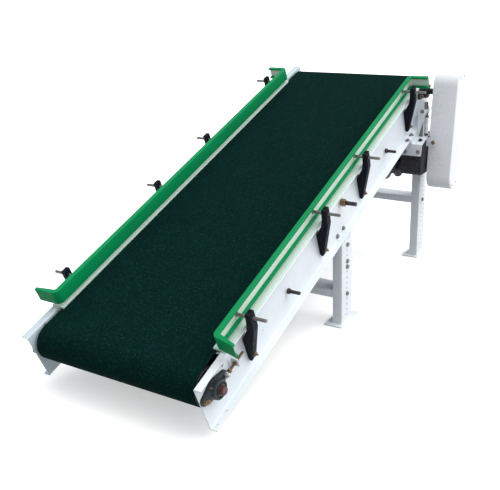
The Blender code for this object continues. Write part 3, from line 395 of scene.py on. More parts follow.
def merged(shapes):
    whole = bmesh.new()
    for shape in shapes:
        mesh = bpy.data.meshes.new("part")
        shape.to_mesh(mesh)
        shape.free()
        whole.from_mesh(mesh)
        bpy.data.meshes.remove(mesh)
    return whole


def loose(shape):
    mesh = bpy.data.meshes.new("loose")
    shape.to_mesh(mesh)
    shape.free()
    holder = bpy.data.objects.new("loose", mesh)
    SCENE.collection.objects.link(holder)
    return holder


def cut(shape, cutters):
    """The shape with the cutters taken away."""
    target, helper = loose(shape), loose(merged(cutters))
    modifier = target.modifiers.new("cut", "BOOLEAN")
    modifier.operation = "DIFFERENCE"
    modifier.solver = "EXACT"
    modifier.object = helper
    graph = bpy.context.evaluated_depsgraph_get()
    mesh = bpy.data.meshes.new_from_object(target.evaluated_get(graph))
    result = bmesh.new()
    result.from_mesh(mesh)
    for holder in (target, helper):
        bpy.data.objects.remove(holder)
    bpy.data.meshes.remove(mesh)
    return result


def add(name, shape, look, body="frame", turn=SLOPE, bevel=0.0, hides=(), smooth=35.0):
    """Finishes a piece, or a list of shapes as one: places it, shades it, gives it a material and a body."""
    shape = merged(shape) if isinstance(shape, list) else shape
    mesh = bpy.data.meshes.new(name)
    shape.transform(turn)
    shape.to_mesh(mesh)
    shape.free()
    made = bpy.data.objects.new(name, mesh)
    SCENE.collection.objects.link(made)
    mesh.materials.append(look)
    mesh.shade_smooth()
    mesh.set_sharp_from_angle(angle=radians(smooth))
    if bevel:
        modifier = made.modifiers.new("edges", "BEVEL")
        modifier.width = bevel
        modifier.segments = 2
        modifier.limit_method = "ANGLE"
        modifier.angle_limit = radians(38)
        modifier.harden_normals = True
    if body:
        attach(made, body)
    if hides:
        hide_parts(*hides)
    return made


def bolts(name, spots, direction, look, body="frame", turn=SLOPE, size=(0.013, 0.006, 0.0095), stud=None):
    """Hex heads of a size (flats, height, washer's radius), and perhaps a (radius, length) thread end."""
    flats, height, washer = size
    shapes = []
    axis = Vector(direction)
    for spot in spots:
        base = Vector(spot)
        if washer:
            shapes.append(at(disc(washer, WASHER), base, axis))
            base = base + axis * WASHER
        shapes.append(at(hexagon(flats, height), base, axis))
        if stud:
            shapes.append(at(threaded(stud[0], 0.00125, stud[1]), base + axis * height * 0.9, axis))
    return add(name, shapes, look, body, turn)


def fixed(name, shape, look, **finish):
    """A piece of the frame that is drawn in the floor's directions."""
    return add(name, shape, look, "frame", FLOOR, **finish)


# -------- side frames and bed
def side_frame(side):
    sign = SIDES[side]
    section = channel((WEB_IN, FLANGE_X), (-FRAME_DEPTH, 0.0), FRAME_THICK, sign, 0.006)
    frame_shape = prism(section, 0.0, FRAME_END, lengthwise)
    low, high = sorted((sign * 0.36, sign * 0.376))
    tools = [prism(capsule((TAIL_S - 0.01, SHAFT_N), (TAIL_S + 0.025, SHAFT_N), 0.019), low, high, across),
             prism(circle((HEAD_S, SHAFT_N), 0.021, 32), low, high, across),
             prism(capsule((0.141, -0.048), (0.147, -0.048), 0.0036, 6), low, high, across)]
    for s, n in ((0.383, -0.122), (0.971, -0.119), (1.597, -0.176), (2.14, -0.04), (2.14, -0.16)):
        tools.append(prism(circle((s, n), 0.0028, 16), low, high, across))
    for s in (0.016, 0.075):
        spot = sign * 0.383
        tools.append(prism(capsule((spot, s - 0.004), (spot, s + 0.004), 0.0052, 6), -0.205, -0.19, upright))
    # The left channel takes the painted-shade copy of the white paint; the right one takes the plain white.
    look = {"left": PAINTED_SHADE_WHITE, "right": WHITE}[side]
    add("frame_channel_" + side, cut(frame_shape, tools), look, bevel=0.0006, hides=["side_frame_" + side])
    # Take-up angle: a foot on the web and an upright with the adjusting screw through it.
    low, high = SHAFT_N - 0.022, SHAFT_N + 0.022
    foot = block((WEB_OUT, ANGLE_S - 0.014, low), (WEB_OUT + 0.004, ANGLE_S + 0.004, high), 0.001)
    tip = [(WEB_OUT, low), (0.4, SHAFT_N - 0.016), (0.4, SHAFT_N + 0.016), (WEB_OUT, high)]
    stand = prism(rounded(tip, 0.004), ANGLE_S, ANGLE_S + 0.004, lengthwise)
    angle = merged([foot, stand])
    if sign < 0:
        angle.transform(Matrix.Scale(-1, 4, (1, 0, 0)))
        bmesh.ops.reverse_faces(angle, faces=angle.faces)
    add("take_up_angle_" + side, angle, WHITE, bevel=0.0005)
    spots = [(sign * WEB_IN, 0.0858, -0.0099), (sign * WEB_IN, 0.0682, -0.0297)]
    bolts("web_bolts_" + side, spots, (-sign, 0, 0), ZINC, size=(0.008, 0.004, 0.006))


def edge_strip(side):
    sign = SIDES[side]
    low, high = sorted((sign * STRIP_X[0], sign * STRIP_X[1]))
    corners = [(low, GAP), (high, GAP), (high, STRIP_TOP), (low, STRIP_TOP)]
    strip = prism(rounded(corners, [0.0006, 0.0006, 0.0025, 0.0025]), *STRIP_S, lengthwise)
    add("wear_strip_" + side, strip, STRIP, bevel=0.0012, hides=["edge_strip_" + side])


# -------- belt and rollers
def belt_stations(offset):
    """Points round the belt at a distance outwards from its inner face, in (s, n)."""
    radius = DRUM_R + 0.0002 + offset
    level = ROLLER_N + ROLLER_R + 0.0006 + BELT_THICK - offset
    near, far = ROLLER_S["near"], ROLLER_S["far"]

    def turned(centre, roller):
        hand = 1 if roller > centre else -1
        reach, drop = abs(roller - centre), level - SHAFT_N
        leave = atan2(drop, reach) - acos(radius / hypot(reach, drop))
        return [(centre + hand * u, SHAFT_N + v)
                for u, v in arc((0.0, 0.0), radius, pi / 2, 2 * pi + leave, 40)]

    def between(a, b, steps, sag=0.0):
        return [(a[0] + (b[0] - a[0]) * t, a[1] + (b[1] - a[1]) * t - sag * 4 * t * (1 - t))
                for t in (k / steps for k in range(1, steps))]

    tail, head = turned(TAIL_S, near), turned(HEAD_S, far)[::-1]
    a, b = (near, level), (far, level)
    return (tail + between(tail[-1], a, 14) + [a] + between(a, b, 28, 0.005) + [b] + between(b, head[0], 14)
            + head + between(head[-1], tail[0], 60))


def belt():
    outer, inner = belt_stations(BELT_THICK), belt_stations(0.0)
    half, edge = BELT_HALF, 0.0008
    shape = bmesh.new()
    run = shape.loops.layers.uv.new("run")
    rows, travel = [], [0.0]
    for i, ((so, no), (si, ni)) in enumerate(zip(outer, inner)):
        if i:
            travel.append(travel[-1] + hypot(so - outer[i - 1][0], no - outer[i - 1][1]))
        ring = []
        for x, t in ((-half, 0.3), (-half, 0.7), (-half + edge, 1.0), (0.0, 1.0), (half - edge, 1.0),
                     (half, 0.7), (half, 0.3), (half - edge, 0.0), (0.0, 0.0), (-half + edge, 0.0)):
            ring.append(shape.verts.new((x, si + (so - si) * t, ni + (no - ni) * t)))
        rows.append(ring)
    travel.append(travel[-1] + hypot(outer[0][0] - outer[-1][0], outer[0][1] - outer[-1][1]))
    for i, ring in enumerate(rows):
        following = rows[(i + 1) % len(rows)]
        for k in range(len(ring)):
            face = shape.faces.new((ring[k - 1], ring[k], following[k], following[k - 1]))
            for loop in face.loops:
                on = loop.vert in following
                loop[run].uv = (loop.vert.co.x, travel[i + 1] if on else travel[i])
    bmesh.ops.recalc_face_normals(shape, faces=shape.faces)
    made = add("belt_cover", shape, BELT, None, hides=["belt"])
    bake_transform(made)


def drum(name, node, body, s, right_end):
    face, r, bore, shaft, left_end = 0.354, DRUM_R, 0.062, 0.015, -0.418
    shell = [(shaft, 0.3425), (shaft + 0.012, 0.3425), (shaft + 0.014, 0.3405), (bore - 0.003, 0.34),
             (bore, 0.343), (bore, 0.3535), (bore + 0.0006, face), (r - 0.0006, face), (r, 0.353)]
    profile = [(0.0, right_end), (shaft - 0.0015, right_end), (shaft, right_end - 0.0015), *both_ends(shell),
               (shaft, left_end + 0.0015), (shaft - 0.0015, left_end), (0.0, left_end)]
    add(name, lathe(profile, 72, across, (s, SHAFT_N)), DRUM, body, hides=[node])


def roller(where):
    half, r = 0.348, ROLLER_R
    profile = [(0.0078, half - 0.004), (0.014, half - 0.004), (0.016, half - 0.001), (r - 0.003, half),
               (r, half - 0.002)]
    add("return_tube_" + where, lathe(both_ends(profile), 48, across, (ROLLER_S[where], ROLLER_N)), GALV,
        where + "_roller", hides=["return_roller_" + where])


def cross_rod(name, node, s, n, radius, stub, nuts, flats, washer, nut_look):
    """A rod through both webs, with nuts and washers outside and a collar inside."""
    end = WEB_OUT + stub
    thread = stub - 0.004
    core = end - thread * 0.5
    shapes = [lathe(both_ends([(0.0, core), (radius, core)]), 24, across, (s, n))]
    nut_shapes, washer_shapes = [], []
    for sign in (-1, 1):
        out = (sign, 0, 0)
        shapes.append(at(threaded(radius, 0.002, thread, 18), (sign * (end - thread), s, n), out))
        collar = disc(washer * 0.8, 0.008, radius - 0.0005)
        shapes.append(at(collar, (sign * (WEB_IN - 0.0083), s, n), out))
        washer_shapes.append(at(disc(washer, 0.003), (sign * FACE, s, n), out))
        x = FACE + 0.003
        for height in nuts:
            nut_shapes.append(at(hexagon(flats, height), (sign * x, s, n), out))
            x += height + 0.0004
    add(name, shapes, OILED, hides=[node])
    add(name + "_nuts", nut_shapes, nut_look)
    add(name + "_washers", washer_shapes, GALV)


# -------- bearings
def lens_radius(angle):
    """Distance from the middle to a two-bolt flange's outline at an angle to its long axis."""
    ear_r, belly = 0.018, 0.036
    best = belly
    a = angle % pi
    a = min(a, pi - a)
    reach = EAR_S * cos(a)
    off = EAR_S * sin(a)
    if off < ear_r:
        best = max(best, reach + (ear_r ** 2 - off ** 2) ** 0.5)
    # Straight flank between the belly and the ear, touching both circles.
    lean = acos((belly - ear_r) / EAR_S)
    flank = belly / max(cos(a - lean), 0.05)
    if a < lean:
        along = flank * cos(a)
        if belly * cos(lean) <= along <= EAR_S + ear_r * cos(lean):
            best = max(best, flank)
    return best


def bearing(name, node, body, side, s):
    sign, steps = SIDES[side], 96
    out, shaft_hole = (sign, 0, 0), 0.0152
    # Height above the web, share of the two-bolt outline in place of the round hub, and scale.
    levels = [(0.0, 1.0, 0.985), (0.001, 1.0, 1.0), (0.0095, 1.0, 0.985), (0.0118, 1.0, 0.95),
              (0.013, 0.94, 0.93), (0.0138, 0.6, 0.95), (0.0155, 0.22, 0.98), (0.019, 0.05, 1.0),
              (0.023, 0.0, 1.0), (0.031, 0.0, 0.985), (0.0332, 0.0, 0.94), (0.0336, 0.0, 0.86)]
    hub = 0.0345
    rings = []
    for height, lens, scale in levels:
        ring = []
        for i in range(steps):
            a = 2 * pi * i / steps
            r = (lens_radius(a) * lens + hub * (1 - lens)) * scale
            ring.append((sign * (FACE + height), s + r * cos(a), SHAFT_N + r * sin(a)))
        rings.append(ring)
    for r, height in ((0.027, 0.033), (0.0262, 0.0285), (0.024, 0.028), (shaft_hole, 0.028),
                      (shaft_hole, 0.0)):
        rings.append([(sign * (FACE + height), u, v) for u, v in circle((s, SHAFT_N), r, steps)])
    add(name, loft(rings, closed=True), CAST, body, hides=[node], smooth=50)
    # The inner ring rides with the casting, and only the shaft's end turns in it.
    ring = [(0.0153, 0.0282), (0.0235, 0.0282), (0.0235, 0.03), (0.0215, 0.031), (0.0205, 0.0355),
            (0.0198, 0.036), (0.0153, 0.036)]
    ring = [(r, sign * (FACE + w)) for r, w in ring]
    add(name + "_inner_ring", lathe(ring, 40, across, (s, SHAFT_N)), OILED, body)
    nipple = [at(hexagon(0.007, 0.003), (sign * (FACE + 0.02), s - 0.02, SHAFT_N + 0.0255), (0, -0.6, 0.8)),
              at(disc(0.0022, 0.007), (sign * (FACE + 0.02), s - 0.0218, SHAFT_N + 0.0279), (0, -0.6, 0.8)),
              at(disc(0.003, 0.0025), (sign * (FACE + 0.02), s - 0.025, SHAFT_N + 0.0322), (0, -0.6, 0.8))]
    add(name + "_nipple", nipple, BRASS, body)
    for ear, place, look in (("near", s - EAR_S, BRASS), ("far", s + EAR_S, ZINC)):
        bolts(name + "_bolt_" + ear, [(sign * (FACE + 0.0118), place, SHAFT_N)], out, look, body,
              size=(0.017, 0.008, 0.0125), stud=(0.005, 0.007))
        bolts(name + "_nut_" + ear, [(sign * (WEB_IN - 0.0002), place, SHAFT_N)], (-sign, 0, 0), ZINC, body,
              size=(0.015, 0.0055, 0.0105))


def shaft_end(name, body, side, s, cap_x):
    """Turned brown end of the shaft, standing out of the bearing."""
    sign = SIDES[side]
    profile = [(0.0, sign * cap_x), (0.0125, sign * cap_x), (0.0148, sign * (cap_x - 0.002)),
               (0.0148, sign * (cap_x - 0.02)), (0.0, sign * (cap_x - 0.02))]
    add(name, lathe([(r * 1.02, w) for r, w in profile], 40, across, (s, SHAFT_N)), SHAFT, body)


def take_up_screw(side):
    sign = SIDES[side]
    start, end = TAIL_S + 0.0745, 0.238
    x = sign * SCREW_X
    stud = at(threaded(0.005, 0.0015, end - start), (x, start, SHAFT_N), ALONG)
    add("adjusting_screw_" + side, stud, BRASS, "take_up", hides=["take_up_screw_" + side])
    add("stud_nut_" + side, at(hexagon(0.016, 0.007), (x, start + 0.0005, SHAFT_N), ALONG), BRASS, "take_up")
    held = [at(hexagon(0.015, 0.006), (x, ANGLE_S - 0.0062, SHAFT_N), ALONG),
            at(disc(0.01, 0.0016, 0.0055), (x, ANGLE_S + 0.0042, SHAFT_N), ALONG),
            at(hexagon(0.016, 0.007), (x, ANGLE_S + 0.006, SHAFT_N), ALONG)]
    add("angle_nuts_" + side, held, BRASS)


# -------- guide rails
def rail_plan(depth, side, reach):
    """The rail's line seen from above, at a depth outwards from its inner face, in (x, s)."""
    bend_x, (start, end) = RAIL_X[side] + RAIL_BEND, RAIL_S[side]
    low_tip, high_tip = RAIL_TIP[side]
    radius = RAIL_BEND - depth
    lean = RAIL_FLARE[side] * (low_tip + reach - bend_x)
    return ([(low_tip + reach, start + depth * RAIL_TAPER - lean)]
            + arc((bend_x, start + RAIL_BEND), radius, -pi / 2, -pi, 10)
            + arc((bend_x, end - RAIL_BEND), radius, pi, pi / 2, 10) + [(high_tip + reach, end - depth)])


def swept(profile, side, reach=0.0):
    """Sweeps a (depth, n) profile along the rail's plan."""
    plans = [rail_plan(depth, side, reach) for depth, n in profile]
    rings = []
    for k in range(len(plans[0])):
        rings.append([(SIDES[side] * plan[k][0], plan[k][1], n) for plan, (depth, n) in zip(plans, profile)])
    return loft(rings)


def guide(side):
    """A green channel rail with turned ends, its backing bar, and its rods with their nuts."""
    sign = SIDES[side]
    out = (sign, 0, 0)
    low, high = RAIL_N
    body = "guide_" + side
    wall, lip, deep = RAIL_WALL, RAIL_LIP, RAIL_DEPTH
    corners = [(0.0, low), (0.0, high), (deep, high), (deep, high - lip), (wall, high - lip),
               (wall, low + lip), (deep, low + lip), (deep, low)]
    profile = rounded(corners, [0.0025, 0.0025, 0.0025, 0.001, 0.0006, 0.0006, 0.001, 0.0025], 3)
    add("rail_" + side, swept(profile, side), GREEN, body, bevel=0.0006, hides=["guide_rail_" + side])
    back = [(wall + GAP, low + lip + GAP), (wall + GAP, high - lip - GAP),
            (BACKING, high - lip - GAP), (BACKING, low + lip + GAP)]
    bar = swept(rounded(back, [0.0004, 0.0004, 0.0012, 0.0012], 3), side, -0.002)
    add("rail_back_" + side, bar, OFFWHITE, body, bevel=0.0005, hides=["rail_backing_" + side])
    x, end = RAIL_X[side] + BACKING, ROD_END[side]
    for number, s in enumerate(BRACKET_S[side]):
        label = side + "_" + str(number + 1)
        profile = [(0.0, x + GAP), (ROD_R, x + GAP), (ROD_R, end - 0.0015), (ROD_R - 0.0015, end), (0.0, end)]
        profile = [(r, sign * w) for r, w in profile]
        add("rod_" + label, lathe(profile, 28, across, (s, ROD_N)), STEEL, body, hides=["guide_rod_" + label])
        collar = [at(disc(0.0095, 0.0014), (sign * (x + GAP), s, ROD_N), out),
                  at(hexagon(0.0135, 0.005), (sign * (x + 0.0017), s, ROD_N), out)]
        add("rod_nut_" + label, collar, ZINC, body)


def guide_bracket(side, number, s):
    """A moulded arm bolted to the web, with a clamp for one rod at its head."""
    sign = SIDES[side]
    head = BRACKET_X[side]
    corners = [(FACE, -0.148), (FACE + 0.007, -0.157), (FACE + 0.015, -0.152), (FACE + 0.021, -0.128),
               (head - 0.002, 0.004), (head, 0.03), (head, 0.077), *BRACKET_NECK[side], (FACE, -0.052)]
    radii = [0.002, 0.003, 0.003, 0.004, 0.008, 0.008, 0.0025, 0.0025, 0.008, 0.003, 0.003, 0.002]
    outline = [(sign * x, n) for x, n in rounded(corners, radii, 3)]
    half = 0.015
    label = side + "_" + str(number)
    add("bracket_" + label, prism(outline, s - half, s + half, lengthwise), BLACK, bevel=0.001,
        hides=["guide_bracket_" + label])
    bush = [(ROD_R + 0.0004, head - 0.004), (0.0092, head - 0.004), (0.0092, head + 0.0006),
            (0.0085, head + 0.0012), (ROD_R + 0.0004, head + 0.0012)]
    top = head - 0.009
    screw = [at(disc(0.0048, 0.0016), (sign * top, s + 0.006, 0.077), UP),
             at(hexagon(0.0055, 0.002), (sign * top, s + 0.006, 0.0784), UP)]
    add("clamp_" + label, [lathe([(r, sign * w) for r, w in bush], 32, across, (s, ROD_N)), *screw], BLACK)
    lean = (sign * 0.95, 0.0, -0.31)
    bolts("bracket_bolt_" + label, [(sign * (FACE + 0.0195), s + 0.003, -0.133)], lean, BRASS,
          size=(0.013, 0.006, 0.009), stud=(0.004, 0.006))
    slope = (head - 0.002 - FACE - 0.021) / 0.132
    spot = (sign * (FACE + 0.0208 + 0.064 * slope), s + 0.002, -0.064)
    bolts("bracket_screw_" + label, [spot], lean, OILED, size=(0.008, 0.003, 0.0))
    spots = [(sign * (WEB_IN - 0.0002), s, n) for n in (-0.133, -0.07)]
    bolts("bracket_nut_" + label, spots, (-sign, 0, 0), ZINC, size=(0.012, 0.005, 0.009))


# -------- legs
def leg(side, where):
    """A drilled channel, its foot plate and the weld seam between them."""
    sign = SIDES[side]
    front, top = LEG_FRONT[where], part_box("leg_" + where + "_" + side)[1].z
    back = front + LEG_DEPTH
    body, label = "legs_" + where, where + "_" + side
    name = "leg_post_" + label
    section = channel((LEG_X[1], LEG_X[0]), (front, back), LEG_WALL, sign, 0.005)
    base = FOOT_THICK - FOOT_SINK
    post = prism(section, base, top, upright)
    middle = front + LEG_DEPTH / 2
    low, high = sorted((sign * (LEG_X[1] - 0.008), sign * (LEG_X[1] + 0.004)))
    count = int((top - LEG_HOLE_LOW - 0.01) / LEG_PITCH) + 1
    holes = [prism(circle((middle, LEG_HOLE_LOW + LEG_PITCH * k), 0.0046, 14), low, high, across)
             for k in range(count)]
    add(name, cut(post, holes), WHITE, body, FLOOR, bevel=0.0005, hides=["leg_" + label])
    x0, x1 = sorted((sign * (LEG_X[0] - 0.031), sign * (LEG_X[1] + 0.011)))
    corners = [(x0, front - 0.026), (x1, front - 0.026), (x1, back + 0.051), (x0, back + 0.051)]
    plate = prism(rounded(corners, 0.004), 0.0, FOOT_THICK, upright)
    anchors = [prism(circle((sign * (LEG_X[0] - 0.015), y), 0.006, 20), -0.002, 0.01, upright)
               for y in (front + 0.02, back - 0.02)]
    anchors.append(prism(circle((sign * 0.373, back + 0.03), 0.006, 20), -0.002, 0.01, upright))
    add(name + "_foot", cut(plate, anchors), WHITE, body, FLOOR, bevel=0.0008)
    fillet = 0.004
    seam = []
    x0, x1 = LEG_X
    for a, b, dx, dy in (((x0, front), (x1, front), 0, -1), ((x0, back), (x1, back), 0, 1),
                         ((x1, front), (x1, back), 1, 0)):
        rings = []
        count = 26
        for k in range(count + 1):
            t = k / count
            x = a[0] + (b[0] - a[0]) * t
            y = a[1] + (b[1] - a[1]) * t
            r = fillet * (1 + 0.12 * (k % 2)) * (0.35 if k in (0, count) else 1.0)
            rings.append([(sign * (x + far * dx), y + far * dy, base + up)
                          for far, up in ((-0.0006, 0.0), (r, 0.0), (0.45 * r, 0.5 * r), (-0.0006, r))])
        seam.append(loft(rings))
    add(name + "_weld", seam, WHITE, body, FLOOR, smooth=80)


def leg_bolts(side):
    """Bolts up the legs, then the two through the web above each leg."""
    sign = SIDES[side]
    out = (sign, 0, 0)
    for where, front in LEG_FRONT.items():
        spots = [(sign * LEG_X[1], front + LEG_DEPTH / 2, z) for z in LEG_BOLT_Z[where]]
        bolts("leg_bolt_" + where + "_" + side, spots, out, ZINC, "legs_" + where, FLOOR, LEG_BOLT)
    for where, places in LUG_BOLT_SN.items():
        spots = [(sign * (WEB_OUT + 0.0002), s, n) for s, n in places]
        bolts("lug_bolt_" + where + "_" + side, spots, out, ZINC, size=LEG_BOLT)


def leg_brace(where):
    front, low, wall = LEG_FRONT[where], BRACE_LOW[where], LEG_WALL
    back, high, half = front + LEG_DEPTH, low + BRACE_HEIGHT, LEG_X[0] - GAP
    corners = [(front, low), (front + wall, low), (front + wall, high - wall), (back - wall, high - wall),
               (back - wall, low), (back, low), (back, high), (front, high)]
    section = rounded(corners, [0.001, 0.001, 0.002, 0.002, 0.001, 0.001, 0.005, 0.005])
    add("cross_brace_" + where, prism(section, -half, half, across), WHITE, "legs_" + where, FLOOR,
        bevel=0.0005, hides=["leg_brace_" + where])


# -------- drive
def chain_guard():
    """A hollow cover with a rolled edge, drawn from its inner rim to its outer face, and its back plate."""
    start, end, edge = GUARD_X[0] + 0.0028, GUARD_X[1], 0.005
    rings = []

    def ring(x, inset):
        rings.append([(x, y, z) for y, z in capsule(GUARD_LOW, GUARD_HIGH, GUARD_R - inset, 24)])

    ring(end - 0.002, 0.002 + edge)
    ring(end - 0.002 - edge * 0.3, 0.002 + edge * 0.3)
    ring(end - 0.002 - edge, 0.002)
    ring(start, 0.002)
    ring(start, 0.0)
    for k in range(7):
        a = pi / 2 * k / 6
        ring(end - edge + edge * sin(a), edge - edge * cos(a))
    fixed("guard_cover", loft(rings), GUARD, hides=["chain_guard_cover"])
    x = GUARD_X[0]
    plate = prism(capsule(GUARD_LOW, GUARD_HIGH, GUARD_R, 24), x, x + 0.0025, across)
    head = TO_SLOPE.inverted() @ Vector((0.0, HEAD_S, SHAFT_N))
    holes = [prism(circle((head.y, head.z), 0.018, 32), x - 0.01, x + 0.01, across),
             prism(circle(OUTPUT_YZ, 0.015, 32), x - 0.01, x + 0.01, across)]
    fixed("guard_back", cut(plate, holes), GUARD, bevel=0.0005, hides=["chain_guard_back"])
    spots = []
    for (y, z), a in ((GUARD_HIGH, 50), (GUARD_HIGH, 130), (GUARD_LOW, 230), (GUARD_LOW, 310)):
        radius = GUARD_R - 0.013
        spots.append((GUARD_X[1] - 0.0001, y + radius * cos(radians(a)), z + radius * sin(radians(a))))
    screws = [at(disc(0.0042, 0.0016), spot, (1, 0, 0)) for spot in spots]
    fixed("guard_screws", screws, ZINC)


def plate_height(y, normal=PLATE_N):
    """Height at a distance y from the infeed end, on a plane at a given n."""
    along = (y + normal * UP_SLOPE.z) / UP_SLOPE.y
    return (TO_SLOPE.inverted() @ Vector((0.0, along, normal))).z


def gearbox():
    """Case with a sloping top under the hanger's plate, its nose round the output shaft, and its cover."""
    y0, y1 = GEAR_Y
    under = PLATE_N - PLATE_THICK - GAP
    side = [(y0, GEAR_LOW), (y1, GEAR_LOW), (y1, plate_height(y1, under)), (y0, plate_height(y0, under))]
    body = prism(rounded(side, [0.012, 0.012, 0.003, 0.003]), *GEAR_X, across)
    # The nose is stepped so that the far leg's bolts pass it.
    nose = lathe([(0.0, 0.4), (0.031, 0.4), (0.031, 0.4055), (0.05, 0.408), (0.05, 0.436), (0.046, 0.443),
                  (0.03, 0.443), (0.028, 0.441), (0.0, 0.441)], 56, across, OUTPUT_YZ)
    fixed("gear_case", body, MOTOR, bevel=0.006, hides=["gearbox"])
    fixed("gear_case_nose", nose, MOTOR, bevel=0.001)
    x, z = COVER_XZ
    cover = [at(disc(0.034, 0.004), (x, y0 + 0.0005, z), FRONT),
             at(disc(0.014, 0.003), (x, y0 - 0.0033, z), FRONT)]
    for k in range(5):
        x = 0.348 + 0.02 * k
        cover.append(block((x, y0 - 0.002, 0.575), (x + 0.004, y0 + 0.002, 0.63), 0.001))
    fixed("gear_case_cover", cover, MOTOR)
    ring = [(x, y0 - 0.0034, z) for x, z in arc(COVER_XZ, 0.028, 0.5, 0.5 + 5 * pi / 3, 5)]
    bolts("gear_case_screws", ring, FRONT, OILED, turn=FLOOR, size=(0.006, 0.003, 0.0))
    plug = [at(hexagon(0.012, 0.005), (0.352, y0 - 0.0002, 0.556), FRONT),
            at(hexagon(0.012, 0.005), (0.428, y0 - 0.0002, 0.5), FRONT)]
    fixed("gear_case_plugs", plug, OILED)


def motor():
    """Adapter and flange at the gearbox, then a ribbed body with a terminal box and a fan cowl."""
    start, end = MOTOR_X
    y, z = MOTOR_YZ
    front = [(0.0, end), (0.045, end), (0.045, 0.3125), (0.0785, 0.312), (0.08, 0.3105), (0.08, 0.2995),
             (0.0785, 0.298), (0.07, 0.296), (0.066, 0.27), (0.072, 0.2465), (0.0985, 0.246), (0.1, 0.2445),
             (0.1, 0.2275), (0.0985, 0.226), (0.0, 0.226)]
    fixed("motor_flange", lathe(front, 72, across, (y, z)), MOTOR, hides=["motor_housing"])
    studs = [(0.246, *spot) for spot in arc((y, z), 0.086, pi / 4, pi / 4 + 3 * pi / 2, 3)]
    bolts("motor_flange_bolts", studs, (1, 0, 0), ZINC, turn=FLOOR, size=(0.015, 0.007, 0.0105))
    ribs, rings = 44, []
    outer, root = MOTOR_R - 0.0005, MOTOR_R - 0.01

    def ring(x, high, low):
        out = []
        for i in range(ribs):
            for share, r in ((0.0, low), (0.28, low), (0.36, high), (0.64, high), (0.72, low)):
                a = 2 * pi * (i + share) / ribs
                out.append((x, y + r * cos(a), z + r * sin(a)))
        rings.append(out)

    ring(start + 0.006, root, root)
    ring(start + 0.008, outer, root)
    ring(0.22, outer, root)
    ring(0.2255, root, root)
    fixed("motor_ribs", loft(rings), MOTOR)
    bell = [(0.0, start), (0.0745, start), (0.0765, start + 0.002), (0.0765, start + 0.008),
            (0.066, start + 0.014), (0.0, start + 0.014)]
    fixed("motor_end_bell", lathe(bell, 64, across, (y, z)), MOTOR)
    face = y - MOTOR_R
    box = block((0.13, face - 0.022, z - 0.04), (0.21, face + 0.012, z + 0.04), 0.008)
    fixed("terminal_box", box, MOTOR, bevel=0.003)
    lid = block((0.1315, face - 0.0255, z - 0.0385), (0.2085, face - 0.0222, z + 0.0385), 0.006, lengthwise)
    fixed("terminal_lid", lid, MOTOR, bevel=0.001)
    corners = [(0.1375 + 0.065 * i, face - 0.0256, z - 0.0325 + 0.065 * k) for i in (0, 1) for k in (0, 1)]
    fixed("terminal_screws", [at(disc(0.0035, 0.0018), corner, FRONT) for corner in corners], ZINC)
    gland = [at(hexagon(0.02, 0.008), (0.17, face - 0.008, z - 0.04), DOWN),
             at(disc(0.0085, 0.01), (0.17, face - 0.008, z - 0.048), DOWN)]
    fixed("cable_gland", gland, BLACK)
    # Fan cowl with a ring-and-spoke grille over its open end.
    a, b = COWL_X
    skirt = [(0.0745, b - GAP), (0.0765, b - GAP), (0.0768, a + 0.014), (0.0735, a + 0.005), (0.0665, a),
             (0.062, a), (0.062, a + 0.0018), (0.066, a + 0.002), (0.0715, a + 0.0065), (0.0745, a + 0.014)]
    grille = [lathe([(r, a), (r + 0.003, a), (r + 0.003, a + 0.002), (r, a + 0.002)], 48, across, (y, z))
              for r in (0.057, 0.048, 0.039, 0.03)]
    hub = [(0.0, a - 0.0002), (0.021, a - 0.0002), (0.021, a + 0.002), (0.0, a + 0.002)]
    grille.append(lathe(hub, 32, across, (y, z)))
    for k in range(8):
        spoke = block((-0.0009, 0.018, -0.0015), (0.0009, 0.064, 0.0015))
        spoke.transform(Matrix.Translation((a + 0.001, y, z)) @ Matrix.Rotation(pi / 4 * k, 4, "X"))
        grille.append(spoke)
    fixed("fan_cowl_shell", [lathe(skirt, 64, across, (y, z)), *grille], MOTOR, hides=["fan_cowl"])


